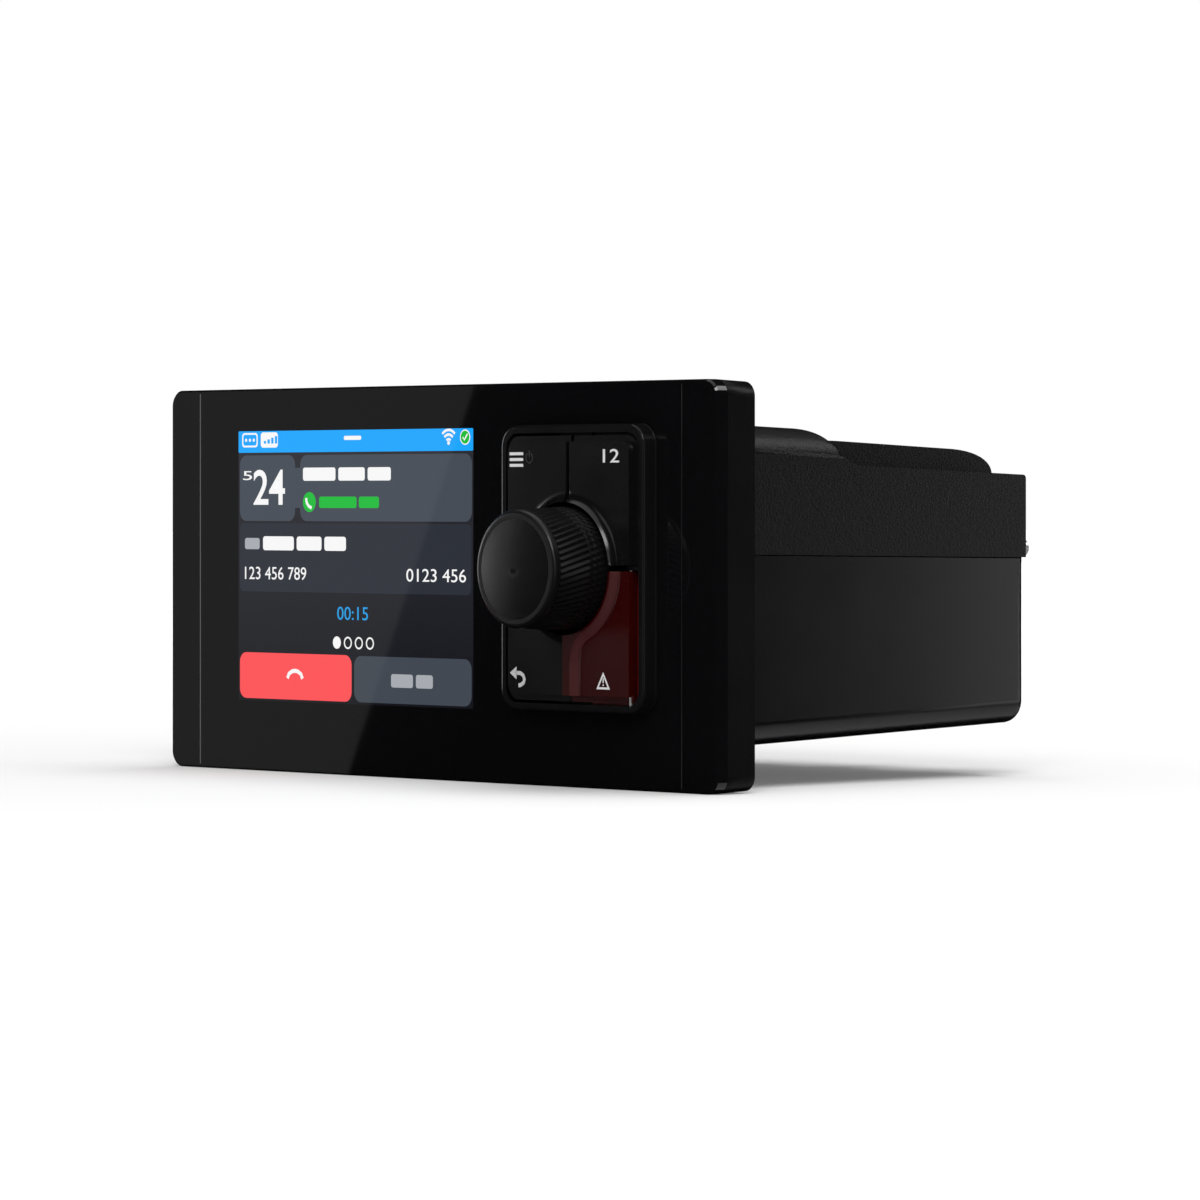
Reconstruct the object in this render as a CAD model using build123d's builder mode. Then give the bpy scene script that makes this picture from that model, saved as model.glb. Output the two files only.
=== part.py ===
from build123d import *
import math
import os

# Flush-mounted VHF marine radio.
# Frame: +Z up, the front faces -Y, +X is to the right of someone looking at the front.
# Origin: centre of the bezel's rear face, in the plane of the dash panel (Y = 0).
# All sizes are in millimetres and all angles in degrees.

# ------------------------------------------------------------------ front plate and bezel
bezel_depth = 8.0           # moulded housing, from the panel to the back of the lens
bezel_draft = 2.5           # the housing narrows toward the panel
bezel_corner = 3.5          # corner radius of the whole front
bezel_wall = 1.5            # thinnest moulded wall of the housing
lens_thickness = 3.0        # gloss front plate and trim caps
lens_edge = 0.4             # softened front edge of the plate
cap_width = 10.6            # snap-on trim cap at each end
seam_gap = 0.2              # hairline between the plate and a cap
fit_gap = 0.15              # assembly clearance between fixed parts
running_gap = 0.05          # radial clearance of anything that turns
thread_gap = 0.02           # radial clearance of screws and pressed pins
hollow_margin = 0.5         # hollow of the bezel inside that of the body
pocket_corner = 1.0
hollow_corner = 2.0
detail_corner = 0.5

# ------------------------------------------------------------------ display
screen_width = 80.0         # visible picture, 4:3
screen_height = 60.0
screen_gap = 12.95          # between the picture and the keypad
top_margin = 9.2            # plate above and below the picture and keypad
bottom_margin = 15.8
panel_margin = 2.0          # glass beyond the picture on each side
panel_thickness = 1.6
tray_wall = 0.8             # pressed metal tray round the glass
tray_depth = 4.4            # over the glass and the backlight
tray_border = 5.0           # bezel floor that carries the tray

# ------------------------------------------------------------------ keypad
pad_lift = 0.15             # centre of the keypad above that of the picture
pad_width = 44.6            # raised surround
pad_height = 59.9
pad_corner = 4.5
pad_rise = 3.6              # surround above the gloss plate
pad_wall = 1.6
pad_flange = 2.5            # foot of the surround behind the plate
pad_flange_thickness = 1.5
pad_groove = 0.6            # gap between surround and keys
key_gap = 1.1               # between neighbouring keys
door_gap = 1.25             # above the distress door
door_overhang = 0.8         # the door reaches over the split on its left
key_split = 0.15            # level of the left split, from the knob axis
key_step = 1.3              # flange that shows round each key
key_rise = 1.4              # key top above that flange
key_drop = 0.4              # flange below the rim of the surround
key_wall = 1.2
key_top = 2.0               # roof thickness of a key
key_travel = 0.6
stem_spread = 0.66          # stems from the knob axis, as a share of the half keypad
opening_corner = 3.5        # inner corner of the surround
pad_edge = 0.6              # rounding of its rim
pad_foot = 0.25             # foot of the surround proud of its wall
pad_foot_rise = 0.5
pad_foot_edge = 0.15
skirt_air = 0.3             # room round the hidden skirts
key_corner = 2.2
skirt_overlap = 0.5         # key skirt under the ledge of the surround
skirt_height = 1.0
ledge_depth = 0.4           # ledge in front of the back of the plate
stem_radius = 2.0
stem_clearance = 0.5
collar_radius = 16.2        # foot of the flare that rises to the knob
collar_rise = 1.3
collar_slope = 54.0         # slope of the flare on the door
collar_blend = 1.0          # hollow rounding at its foot
knob_gap = 0.9              # dark ring between the knob and the keys

# ------------------------------------------------------------------ distress door
door_thickness = 1.3
door_ridge = 3.8            # width of the raised left edge at its foot
door_ridge_blend = 5.0      # radius where that ridge runs into the collar
door_air = 0.4              # between the door and the key under it
door_lip = 1.0              # thickness of the lower step of the door
door_side_air = 0.5         # beside and under the hinge knuckle
door_rim = 1.2              # closed edge of the door round the key under it
hinge_inset = 2.9           # hinge axis from the inner wall of the surround
hinge_level = 0.65          # hinge axis below the rim of the surround
pin_radius = 0.35
pin_window = 0.6            # part of the pin that shows at the lower rim
knuckle_radius = 1.0
pin_skin = 0.3              # wall under the hinge pin
ear_thickness = 0.85
ear_edge = 0.4              # ear beyond the hinge pin
ear_root = 0.2
spring_wire = 0.16
spring_turns = 4
spring_length = 1.8

# ------------------------------------------------------------------ knob and encoder
knob_rim_radius = 12.35
knob_base_radius = 13.0
knob_front = 19.8           # face of the knob from the front of the plate
knob_base_level = 3.8       # back of the knob from the front of the plate
knob_rim_length = 2.0       # smooth band behind the face
knob_wall = 1.6
knob_web = 1.6              # disc that joins the grip to its hub
hub_radius = 5.2
hub_recess = 1.5            # hub behind the skirt of the knob
knob_cap_radius = 10.5
knob_cap_depth = 1.2
knob_edge = 1.0             # rounding of the front rim
knob_groove = 0.3           # step between the rim and the ribs
knob_skirt = 1.6            # plain band behind the ribs
knob_dome = 0.4             # crown of the face
knurl_count = 60
knurl_depth = 0.34
knurl_angle = 16.0          # slant of the ribs to the axis
knurl_steps = 8
shaft_radius = 3.0
shaft_flat = 1.5            # depth of the D flat
shaft_tail = 2.6            # shaft behind the front of the board
encoder_size = 12.0
encoder_height = 5.0
bushing_radius = 3.5
bushing_length = 5.0
nut_flats = 10.0
nut_thickness = 2.2
washer_radius = 5.9
washer_thickness = 0.5
boss_radius = 10.2
boss_rise = 2.5             # encoder boss in front of the bezel
plunger_radius = 2.6
plunger_length = 1.4

# ------------------------------------------------------------------ boards behind the front
pad_floor_thickness = 1.5
mat_thickness = 0.8
dome_radius = 2.8
dome_height = 0.3
stem_air = 0.1              # left over dome when a key is fully in
board_thickness = 1.6
front_board_side = 2.8      # board inside the keypad surround, each side
front_board_end = 2.95      # and at each end
front_board_shift_x = -1.0  # its centre from the axis of the knob
front_board_shift_z = -0.45
board_hole_inset = 3.2
board_air = 0.75            # room round the front board
pocket_skin = 0.4           # floor left under the board screws
board_screw_reach = 2.4
post_radius = 2.2
small_screw_radius = 1.0
small_head_radius = 1.9
small_head_height = 1.2

# ------------------------------------------------------------------ body
side_margin = 14.0          # bezel beyond the body on each side
body_drop = 8.5             # top of the hump below the top of the bezel
body_lift = 8.2             # underside above the bottom of the bezel
body_depth = 98.4           # behind the panel
body_draft = 1.95           # every side narrows toward the rear
body_wall = 2.5
body_top_corner = 6.0
body_bottom_corner = 5.0
rebate_corner = 3.0         # corner of the recess in the bezel that takes the body
body_rear_edge = 2.6        # lower rear edge of the housing
cover_rear_edge = 0.9       # upper rear edge of the cover
cavity_overrun = 1.0        # hollow forms run this far past the open front
body_seat = 1.5             # body rim let into the back of the bezel
room_margin = 2.0           # upper rooms inside the outer walls
room_corner = 2.0
seam_front = 6.4            # height of the split line at the panel
seam_rear = 5.1
seam_line = 0.25            # open line between cover and housing
hump_length = 28.7          # full-height part of the cover
shoulder_start = 47.9       # end of the swept step
shoulder_front = 25.0
shoulder_rear = 23.2
deck_width = 130.0          # raised deck along the middle of the cover
deck_front = 30.4
deck_rear = 28.9
deck_inset = 2.9            # tip of the deck from the rear
deck_fall = 12.5            # length over which the deck rounds down
ceiling_bite = 0.5          # posts run this far into the ceiling
cover_ceiling = 19.5        # inside height under the shoulders
deck_ceiling = 26.0         # inside height under the deck
seal_width = 1.1
seal_depth = 0.8

# ------------------------------------------------------------------ screws and posts of the body
lug_inset = 4.2             # corner screws from the sides of the body: bezel to body
lug_drop = 6.0              # and from its top
lug_rise = 6.3              # and from its underside
lug_radius = 3.2
lug_length = 8.0            # corner bosses behind the panel
lug_cover = 0.2             # screw heads behind the keypad flange
lug_wall = 0.65             # between a screw head and the display tray
lug_head_radius = 2.3
lug_head_height = 1.8
lug_screw_reach = 6.0
case_screw_inset = 12.0     # from the sides of the body
case_screw_front = 14.0
case_screw_end = 14.4       # from its rear
tower_radius = 4.2
case_screw_radius = 1.5
case_head_radius = 2.7
case_head_height = 2.2
case_head_level = -5.0      # seat of the screw heads, deep in the towers
case_thread = 6.0           # screw length in the cover
thread_relief = 1.0         # hole deeper than its screw

# ------------------------------------------------------------------ main board
main_board_side = 20.0      # board inside the sides of the body
main_board_front = 8.0
main_board_end = 14.4       # board from the rear of the body
main_board_level = 7.4      # underside of the board
main_post_side = 6.0        # posts from the sides of the board
main_post_radius = 3.0
main_post_inset = 5.0       # posts from the ends of the board
main_screw_reach = 4.0
shield_height = 4.0
shield_width = 44.0
shield_depth = 40.0
shield_wall = 0.5
shield_x = -28.0
amplifier_width = 34.0
amplifier_depth = 18.0
amplifier_height = 4.5
amplifier_x = -20.0
amplifier_end = 24.0        # from the rear end of the board
part_margin = 0.5           # parts inside the pad that cools them
thermal_pad = 0.5
connector_width = 16.0
connector_height = 2.5
connector_x = 38.0
connector_end = 13.0

# ------------------------------------------------------------------ rear sockets
socket_z = -12.5
antenna_x = -52.0
antenna_flange = 25.4
antenna_flange_thickness = 1.6
antenna_hole_pitch = 18.2
antenna_barrel_radius = 7.94
antenna_barrel_length = 12.7
antenna_wall = 1.4
antenna_pin_hole = 2.0
antenna_recess = 1.0
antenna_contact_wall = 0.5
antenna_contact_tail = 2.0
antenna_corner = 1.0
antenna_tail_radius = 5.5
antenna_tail = 8.0
locator_x = -29.0
locator_radius = 3.175
locator_length = 9.0
locator_nut = 9.15          # across flats
locator_nut_thickness = 2.0
locator_wall = 0.7
locator_core_radius = 1.975
locator_mouth = 4.0         # start of its hollow behind the wall
locator_tail = 3.0
network_x = -8.0
network_radius = 6.0
mic_x = 18.0
mic_radius = 10.0
power_x = 47.0
power_radius = 9.0
socket_flange_rim = 2.5
socket_flange_thickness = 2.5
socket_wall = 1.5
socket_length = 10.0
socket_pin_radius = 0.5
socket_pin_length = 4.0
socket_tail = 6.0
socket_floor_thickness = 1.0
socket_edge = 0.6
socket_key = 1.2            # rib that polarises the plug
socket_key_inset = 2.0
socket_pin_circle = 0.55    # circle of the pins, as a share of the mouth
network_pins = 5
mic_pins = 8
power_pins = 6
ground_inset = 3.6          # ground screw from the side of the body at the rear
ground_rise = 2.2           # and above the split line there
ground_head_radius = 2.0
ground_head_height = 3.0
ground_thread_radius = 1.2
ground_thread_length = 6.0
ground_boss_radius = 2.9
ground_boss_rise = 0.6
ground_edge = 0.4

# ------------------------------------------------------------------ mounting
mount_inset_x = 5.3         # mounting screws from the ends of the bezel
mount_inset_z = 12.5        # and from its top and bottom
mount_hole_radius = 2.15
mount_head_radius = 4.2
mount_head_depth = 3.0
clip_z = 15.0
clip_width = 7.0
clip_thickness = 1.6
clip_length = 5.0
clip_barb = 0.35
clip_air = 0.3
barb_inset = 1.0
barb_start = 0.5            # barb from the tip of the clip
barb_length = 1.2
clip_inset = 3.2            # clip from the outer end of the bezel
gasket_width = 4.0
gasket_depth = 1.0
gasket_inset = 4.0          # groove from the body opening
gasket_corner = 6.0

# ------------------------------------------------------------------ places across the front
plate_margin = lug_head_radius + fit_gap + lug_wall + panel_margin + tray_wall + fit_gap
left_margin = side_margin + lug_inset + plate_margin
right_margin = side_margin + lug_inset
bezel_width = left_margin + screen_width + screen_gap + pad_width + right_margin
field_height = max(screen_height, pad_height)
bezel_height = top_margin + field_height + bottom_margin
screen_x = left_margin + (screen_width - bezel_width) / 2
screen_z = (bottom_margin - top_margin) / 2
pad_x = (bezel_width - pad_width) / 2 - right_margin
pad_z = screen_z + pad_lift
body_width = bezel_width - 2 * side_margin
body_top = bezel_height / 2 - body_drop
body_bottom = body_lift - bezel_height / 2
body_height = body_top - body_bottom
body_centre = (0, (body_top + body_bottom) / 2)

# ------------------------------------------------------------------ levels, front to back
lens_back = -bezel_depth
lens_front = lens_back - lens_thickness
rim_level = lens_front - pad_rise
flange_level = rim_level + key_drop
key_level = flange_level - key_rise
collar_level = key_level - collar_rise
knob_level = lens_front - knob_front
knob_back = lens_front - knob_base_level
flange_back = lens_back + pad_flange_thickness
floor_back = flange_back + pad_floor_thickness
board_front = floor_back + mat_thickness + dome_height + stem_clearance
board_back = board_front + board_thickness
mat_front = board_front - mat_thickness
dome_level = mat_front - dome_height
stem_level = dome_level - key_travel - stem_air
ledge_level = lens_back - ledge_depth
skirt_back = ledge_level + skirt_height
boss_front = lens_back - boss_rise
seam_cap_x = bezel_width / 2 - cap_width
body_front = -body_seat
lug_head_level = flange_back + lug_cover + lug_head_height
deck_tip = body_depth - deck_inset
deck_end = deck_tip - deck_fall

# ------------------------------------------------------------------ keypad outlines
opening_half_x = pad_width / 2 - pad_wall
opening_half_z = pad_height / 2 - pad_wall
key_half_x = opening_half_x - pad_groove
key_half_z = opening_half_z - pad_groove
top_half_x = key_half_x - key_step
top_half_z = key_half_z - key_step
skirt_half_x = opening_half_x + skirt_overlap
skirt_half_z = opening_half_z + skirt_overlap
well_radius = knob_base_radius + knob_gap
hinge_x = pad_x + opening_half_x - hinge_inset
hinge_y = rim_level + hinge_level


os.makedirs("parts", exist_ok=True)


def at_depth(y):
    """Plane across the radio at depth y: sketches read X and Z, extrusions run to the front."""
    return Plane.XZ.offset(-y)


def slab(width, height, radius, y_back, y_front, centre=(0, 0), mode=Mode.ADD):
    """Rounded rectangular slab between two depths, in the part being built."""
    with BuildSketch(at_depth(y_back)) as outline:
        with Locations(centre):
            RectangleRounded(width, height, radius)
    extrude(outline.sketch, amount=y_back - y_front, mode=mode)


def disc(radius, y_back, y_front, centre=(0, 0), mode=Mode.ADD):
    """Cylinder along Y between two depths, in the part being built."""
    with BuildSketch(at_depth(y_back)) as outline:
        with Locations(centre):
            Circle(radius)
    extrude(outline.sketch, amount=y_back - y_front, mode=mode)


def discs(radius, y_back, y_front, centres, mode=Mode.ADD):
    """Equal cylinders along Y at several centres."""
    for centre in centres:
        disc(radius, y_back, y_front, centre, mode)


def finish(part, name):
    """Label a finished piece and write it."""
    part.label = name
    export_step(part, f"parts/{name}.step")


def seam_height(y):
    """Height of the split line between cover and housing at depth y."""
    return seam_front + (seam_rear - seam_front) * y / body_depth


# ================================================================== front bezel
pocket_width = screen_width + 2 * (panel_margin + tray_wall + fit_gap)
pocket_height = screen_height + 2 * (panel_margin + tray_wall + fit_gap)
tray_back = lens_back + tray_depth
screen_centre = (screen_x, screen_z)
pad_centre = (pad_x, pad_z)
lug_x = body_width / 2 - lug_inset
lug_points = [(sx * lug_x, z) for sx in (-1, 1) for z in (body_bottom + lug_rise, body_top - lug_drop)]
mount_x = bezel_width / 2 - mount_inset_x
mount_z = bezel_height / 2 - mount_inset_z
mount_points = [(sx * mount_x, sz * mount_z) for sx in (-1, 1) for sz in (-1, 1)]
clip_points = [(sx * (bezel_width / 2 - clip_inset), sz * clip_z) for sx in (-1, 1) for sz in (-1, 1)]
front_board_width = pad_width - 2 * front_board_side
front_board_height = pad_height - 2 * front_board_end
front_board_x = pad_x + front_board_shift_x
front_board_z = pad_z + front_board_shift_z
board_half_x = front_board_width / 2 - board_hole_inset
board_half_z = front_board_height / 2 - board_hole_inset
board_holes = [
    (front_board_x + sx * board_half_x, front_board_z + sz * board_half_z)
    for sx in (-1, 1)
    for sz in (-1, 1)
]
stem_x = key_half_x * stem_spread
stem_z = key_half_z * stem_spread
stem_points = [(pad_x + sx * stem_x, pad_z + sz * stem_z) for sx in (-1, 1) for sz in (-1, 1)]
shrink = bezel_depth * math.tan(math.radians(bezel_draft))
inner_width = body_width - 2 * (body_wall + hollow_margin)
inner_height = body_height - 2 * (body_wall + hollow_margin)

with BuildPart() as front_bezel:
    with BuildSketch(at_depth(lens_back)):
        RectangleRounded(bezel_width, bezel_height, bezel_corner)
    with BuildSketch(at_depth(0)):
        RectangleRounded(bezel_width - 2 * shrink, bezel_height - 2 * shrink, bezel_corner - shrink)
    loft()
    # rebate that the rim of the body sits in, and the hollow behind the front wall
    slab(body_width + 2 * fit_gap, body_height + 2 * fit_gap, rebate_corner, 0, body_front,
         body_centre, Mode.SUBTRACT)
    slab(inner_width, inner_height, hollow_corner, 0, tray_back + bezel_wall, body_centre, Mode.SUBTRACT)
    # front pocket of the display, with an opening for its flat cables
    slab(pocket_width, pocket_height, pocket_corner, tray_back, lens_back, screen_centre, Mode.SUBTRACT)
    slab(pocket_width - 2 * tray_border, pocket_height - 2 * tray_border, hollow_corner,
         0, tray_back, screen_centre, Mode.SUBTRACT)
    # front pocket of the keypad surround, and room for the front board behind its floor
    slab(pad_width + 2 * (pad_flange + fit_gap), pad_height + 2 * (pad_flange + fit_gap), pad_corner,
         flange_back, lens_back, pad_centre, Mode.SUBTRACT)
    slab(front_board_width + 2 * board_air, front_board_height + 2 * board_air, hollow_corner,
         0, floor_back, (front_board_x, front_board_z), Mode.SUBTRACT)
    # posts of the front board
    discs(post_radius, board_front, floor_back, board_holes)
    discs(small_screw_radius, board_front, flange_back + pocket_skin, board_holes, Mode.SUBTRACT)
    # boss that carries the encoder
    disc(boss_radius, floor_back, boss_front, pad_centre)
    slab(encoder_size + 2 * fit_gap, encoder_size + 2 * fit_gap, detail_corner, board_front,
         board_front - encoder_height - fit_gap, pad_centre, Mode.SUBTRACT)
    disc(bushing_radius + fit_gap, board_front, boss_front, pad_centre, Mode.SUBTRACT)
    discs(stem_radius + stem_clearance, 0, lens_back, stem_points, Mode.SUBTRACT)
    # corner screws that hold the body, sunk under the front plate
    discs(lug_radius, body_front, tray_back + bezel_wall, lug_points)
    discs(case_screw_radius + fit_gap, body_front, lug_head_level, lug_points, Mode.SUBTRACT)
    discs(lug_head_radius + fit_gap, lug_head_level, lens_back, lug_points, Mode.SUBTRACT)
    # mounting screws under the trim caps
    discs(mount_hole_radius, 0, lens_back, mount_points, Mode.SUBTRACT)
    discs(mount_head_radius, lens_back + mount_head_depth, lens_back, mount_points, Mode.SUBTRACT)
    # snap sockets of the trim caps
    for centre in clip_points:
        slab(clip_thickness + 2 * (clip_barb + fit_gap), clip_width + 2 * fit_gap, clip_air,
             lens_back + clip_length + clip_air, lens_back, centre, Mode.SUBTRACT)
    # groove of the panel gasket
    groove_width = body_width + 2 * gasket_inset
    groove_height = body_height + 2 * gasket_inset
    with BuildSketch(at_depth(0)):
        with Locations(body_centre):
            RectangleRounded(groove_width, groove_height, gasket_corner)
            RectangleRounded(groove_width - gasket_width, groove_height - gasket_width,
                             gasket_corner - gasket_width / 2, mode=Mode.SUBTRACT)
    extrude(amount=gasket_depth, mode=Mode.SUBTRACT)
finish(front_bezel.part, "front_bezel")

# ================================================================== panel gasket
with BuildPart() as panel_gasket:
    with BuildSketch(at_depth(0)):
        with Locations(body_centre):
            RectangleRounded(groove_width, groove_height, gasket_corner)
            RectangleRounded(groove_width - gasket_width, groove_height - gasket_width,
                             gasket_corner - gasket_width / 2, mode=Mode.SUBTRACT)
    extrude(amount=gasket_depth)
finish(panel_gasket.part, "panel_gasket")

# ================================================================== gloss front plate
lens_width = 2 * (seam_cap_x - seam_gap / 2)
with BuildPart() as front_lens:
    with BuildSketch(at_depth(lens_back)):
        Rectangle(lens_width, bezel_height)
    extrude(amount=lens_thickness)
    chamfer(front_lens.faces().sort_by(Axis.Y)[0].edges().filter_by(Axis.X), lens_edge)
    opening_air = pad_foot + fit_gap
    slab(pad_width + 2 * opening_air, pad_height + 2 * opening_air, pad_corner + opening_air,
         lens_back, lens_front, pad_centre, Mode.SUBTRACT)
finish(front_lens.part, "front_lens")

# ================================================================== trim caps
for side, name in ((-1, "left_trim_cap"), (1, "right_trim_cap")):
    with BuildPart() as trim_cap:
        with BuildSketch(at_depth(lens_back)):
            RectangleRounded(bezel_width, bezel_height, bezel_corner)
            with Locations((-side * (cap_width + seam_gap / 2), 0)):
                Rectangle(bezel_width, bezel_height, mode=Mode.SUBTRACT)
        extrude(amount=lens_thickness)
        front_edges = trim_cap.faces().sort_by(Axis.Y)[0].edges()
        inner_edge = front_edges.sort_by(Axis.X)[0 if side > 0 else -1]
        chamfer([edge for edge in front_edges if edge != inner_edge], lens_edge)
        # spring clips with a barb that catches in the bezel
        for level in (-clip_z, clip_z):
            centre = (side * (bezel_width / 2 - clip_inset), level)
            slab(clip_thickness, clip_width, clip_air, lens_back + clip_length, lens_back, centre)
            barb_back = lens_back + clip_length - barb_start
            slab(clip_thickness + 2 * clip_barb, clip_width - 2 * barb_inset, clip_air, barb_back,
                 barb_back - barb_length, centre)
    finish(trim_cap.part, name)

# ================================================================== display
with BuildPart() as display_panel:
    slab(screen_width + 2 * panel_margin - fit_gap, screen_height + 2 * panel_margin - fit_gap,
         detail_corner, lens_back + panel_thickness, lens_back, screen_centre)
finish(display_panel.part, "display_panel")

with BuildPart() as display_tray:
    slab(pocket_width - 2 * fit_gap, pocket_height - 2 * fit_gap, pocket_corner - fit_gap,
         tray_back, lens_back, screen_centre)
    slab(screen_width + 2 * panel_margin, screen_height + 2 * panel_margin, detail_corner,
         lens_back + panel_thickness, lens_back, screen_centre, Mode.SUBTRACT)
finish(display_tray.part, "display_tray")

# ================================================================== keypad surround
pin_bottom = pad_z - pad_height / 2 + pin_skin
ear_top = pad_z + key_split + door_gap / 2 - fit_gap
ear_reach = hinge_inset + pin_radius + ear_edge
pin_top = ear_top - pin_skin
with BuildPart() as keypad_surround:
    slab(pad_width, pad_height, pad_corner, flange_back, rim_level, pad_centre)
    rim_edges = keypad_surround.faces().sort_by(Axis.Y)[0].edges()
    fillet(rim_edges, pad_edge)
    foot_level = lens_front - pad_foot_rise
    slab(pad_width + 2 * pad_foot, pad_height + 2 * pad_foot, pad_corner + pad_foot, flange_back,
         foot_level, pad_centre)
    foot_edges = keypad_surround.faces().filter_by(Axis.Y).filter_by_position(Axis.Y, foot_level, foot_level)
    fillet(foot_edges[0].outer_wire().edges(), pad_foot_edge)
    slab(pad_width + 2 * pad_flange, pad_height + 2 * pad_flange, pad_corner, flange_back,
         lens_back, pad_centre)
    slab(2 * opening_half_x, 2 * opening_half_z, opening_corner, flange_back, rim_level,
         pad_centre, Mode.SUBTRACT)
    slab(2 * (skirt_half_x + skirt_air), 2 * (skirt_half_z + skirt_air), opening_corner, flange_back,
         ledge_level, pad_centre, Mode.SUBTRACT)
    # ear between the channel key and the door: upper seat of the hinge pin
    with BuildSketch(Plane.XY.offset(ear_top)):
        with Locations((pad_x + opening_half_x + (ear_root - ear_reach) / 2, (rim_level + ledge_level) / 2)):
            Rectangle(ear_reach + ear_root, ledge_level - rim_level)
    extrude(amount=-ear_thickness)
    # the pin is laid from behind into slots of the lower rim and the ear
    slot_length = flange_back - hinge_y
    with BuildSketch(Plane.XY.offset(pin_bottom)):
        with Locations((hinge_x, hinge_y)):
            Circle(pin_radius + thread_gap)
        with Locations((hinge_x, hinge_y + slot_length / 2)):
            Rectangle(2 * (pin_radius + thread_gap), slot_length)
    extrude(amount=pin_top - pin_bottom, mode=Mode.SUBTRACT)
    with BuildSketch(Plane.XY.offset(pad_z - opening_half_z)):
        with Locations((hinge_x, hinge_y - slot_length / 2)):
            Rectangle(2 * (pin_radius + thread_gap), slot_length)
    extrude(amount=-pin_window, mode=Mode.SUBTRACT)
finish(keypad_surround.part, "keypad_surround")


# ================================================================== keys
def quadrant_mask(side_x, side_z, inset=0.0):
    """Sketch of one quarter of the keypad, out to the splits between the keys."""
    lower_gap = door_gap / 2 if side_x > 0 else key_gap / 2
    overhang = door_overhang if side_x > 0 > side_z else 0
    z_start = pad_z + key_split + side_z * (lower_gap + inset)
    x_start = pad_x + side_x * (key_gap / 2 + inset - overhang)
    with BuildSketch(at_depth(0)) as mask:
        with Locations((x_start + side_x * pad_width / 2, z_start + side_z * pad_height / 2)):
            Rectangle(pad_width, pad_height)
    return mask.sketch


def quadrant_prism(side_x, side_z, y_back, y_front, half_x, half_z, radius, inset=0.0, well=well_radius,
                   mode=Mode.ADD):
    """Quarter of a rounded slab with the well of the knob cut out, in the part being built."""
    mask = quadrant_mask(side_x, side_z, inset)
    with BuildSketch(at_depth(y_back)) as outline:
        with Locations(pad_centre):
            RectangleRounded(2 * half_x, 2 * half_z, radius)
        add(mask.moved(Location((0, y_back, 0))), mode=Mode.INTERSECT)
        with Locations(pad_centre):
            Circle(well, mode=Mode.SUBTRACT)
    extrude(outline.sketch, amount=y_back - y_front, mode=mode)


def key_shell(side_x, side_z):
    """Hollow key cap of one quarter: stepped top, retaining skirt, cone at the knob and stem."""
    with BuildPart() as key:
        with BuildSketch(Plane(origin=(pad_x, 0, pad_z), x_dir=(1, 0, 0), z_dir=(0, 0, 1))):
            with BuildLine():
                Line((0, collar_level), (0, key_level))
                Line((0, key_level), (collar_radius, key_level))
                TangentArc((collar_radius, key_level), (well_radius, collar_level), tangent=(-1, 0))
                Line((well_radius, collar_level), (0, collar_level))
            make_face()
        revolve(axis=Axis((pad_x, 0, pad_z), (0, 1, 0)))
        quadrant_prism(side_x, side_z, key_level, collar_level, top_half_x, top_half_z, key_corner,
                       mode=Mode.INTERSECT)
        quadrant_prism(side_x, side_z, flange_level, key_level, top_half_x, top_half_z, key_corner)
        quadrant_prism(side_x, side_z, skirt_back, flange_level, key_half_x, key_half_z,
                       pad_corner - pad_wall)
        quadrant_prism(side_x, side_z, skirt_back, ledge_level, skirt_half_x, skirt_half_z,
                       pad_corner - pad_wall)
        quadrant_prism(side_x, side_z, skirt_back, key_level + key_top, key_half_x - key_wall,
                       key_half_z - key_wall, key_corner, key_wall, well_radius + key_wall, Mode.SUBTRACT)
        stem = (pad_x + side_x * stem_x, pad_z + side_z * stem_z)
        disc(stem_radius, stem_level, key_level + key_top, stem)
    return key.part


for side_x, side_z, name in ((-1, 1, "menu_key"), (1, 1, "channel_key"), (-1, -1, "back_key")):
    finish(key_shell(side_x, side_z), name)

# the distress key is lower, because the door closes over it
door_inner = key_level + door_thickness
distress_top = door_inner + door_air
door_back = flange_level + door_lip
door_swing = math.hypot(knuckle_radius, door_back - hinge_y)
distress_step = hinge_y + door_swing + key_travel / 2
distress_half_x = hinge_x - knuckle_radius - door_side_air - pad_x
distress_half_z = top_half_z - door_rim
with BuildPart() as distress_key:
    quadrant_prism(1, -1, distress_step, distress_top, distress_half_x, distress_half_z, key_corner,
                   door_rim, well_radius + door_rim)
    quadrant_prism(1, -1, skirt_back, distress_step, key_half_x, key_half_z, pad_corner - pad_wall)
    quadrant_prism(1, -1, skirt_back, ledge_level, skirt_half_x, skirt_half_z, pad_corner - pad_wall)
    quadrant_prism(1, -1, skirt_back, distress_step + door_lip, key_half_x - key_wall,
                   key_half_z - key_wall, key_corner, key_wall, well_radius + key_wall, Mode.SUBTRACT)
    disc(stem_radius, stem_level, distress_step + door_lip, (pad_x + stem_x, pad_z - stem_z))
finish(distress_key.part, "distress_key")

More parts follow.
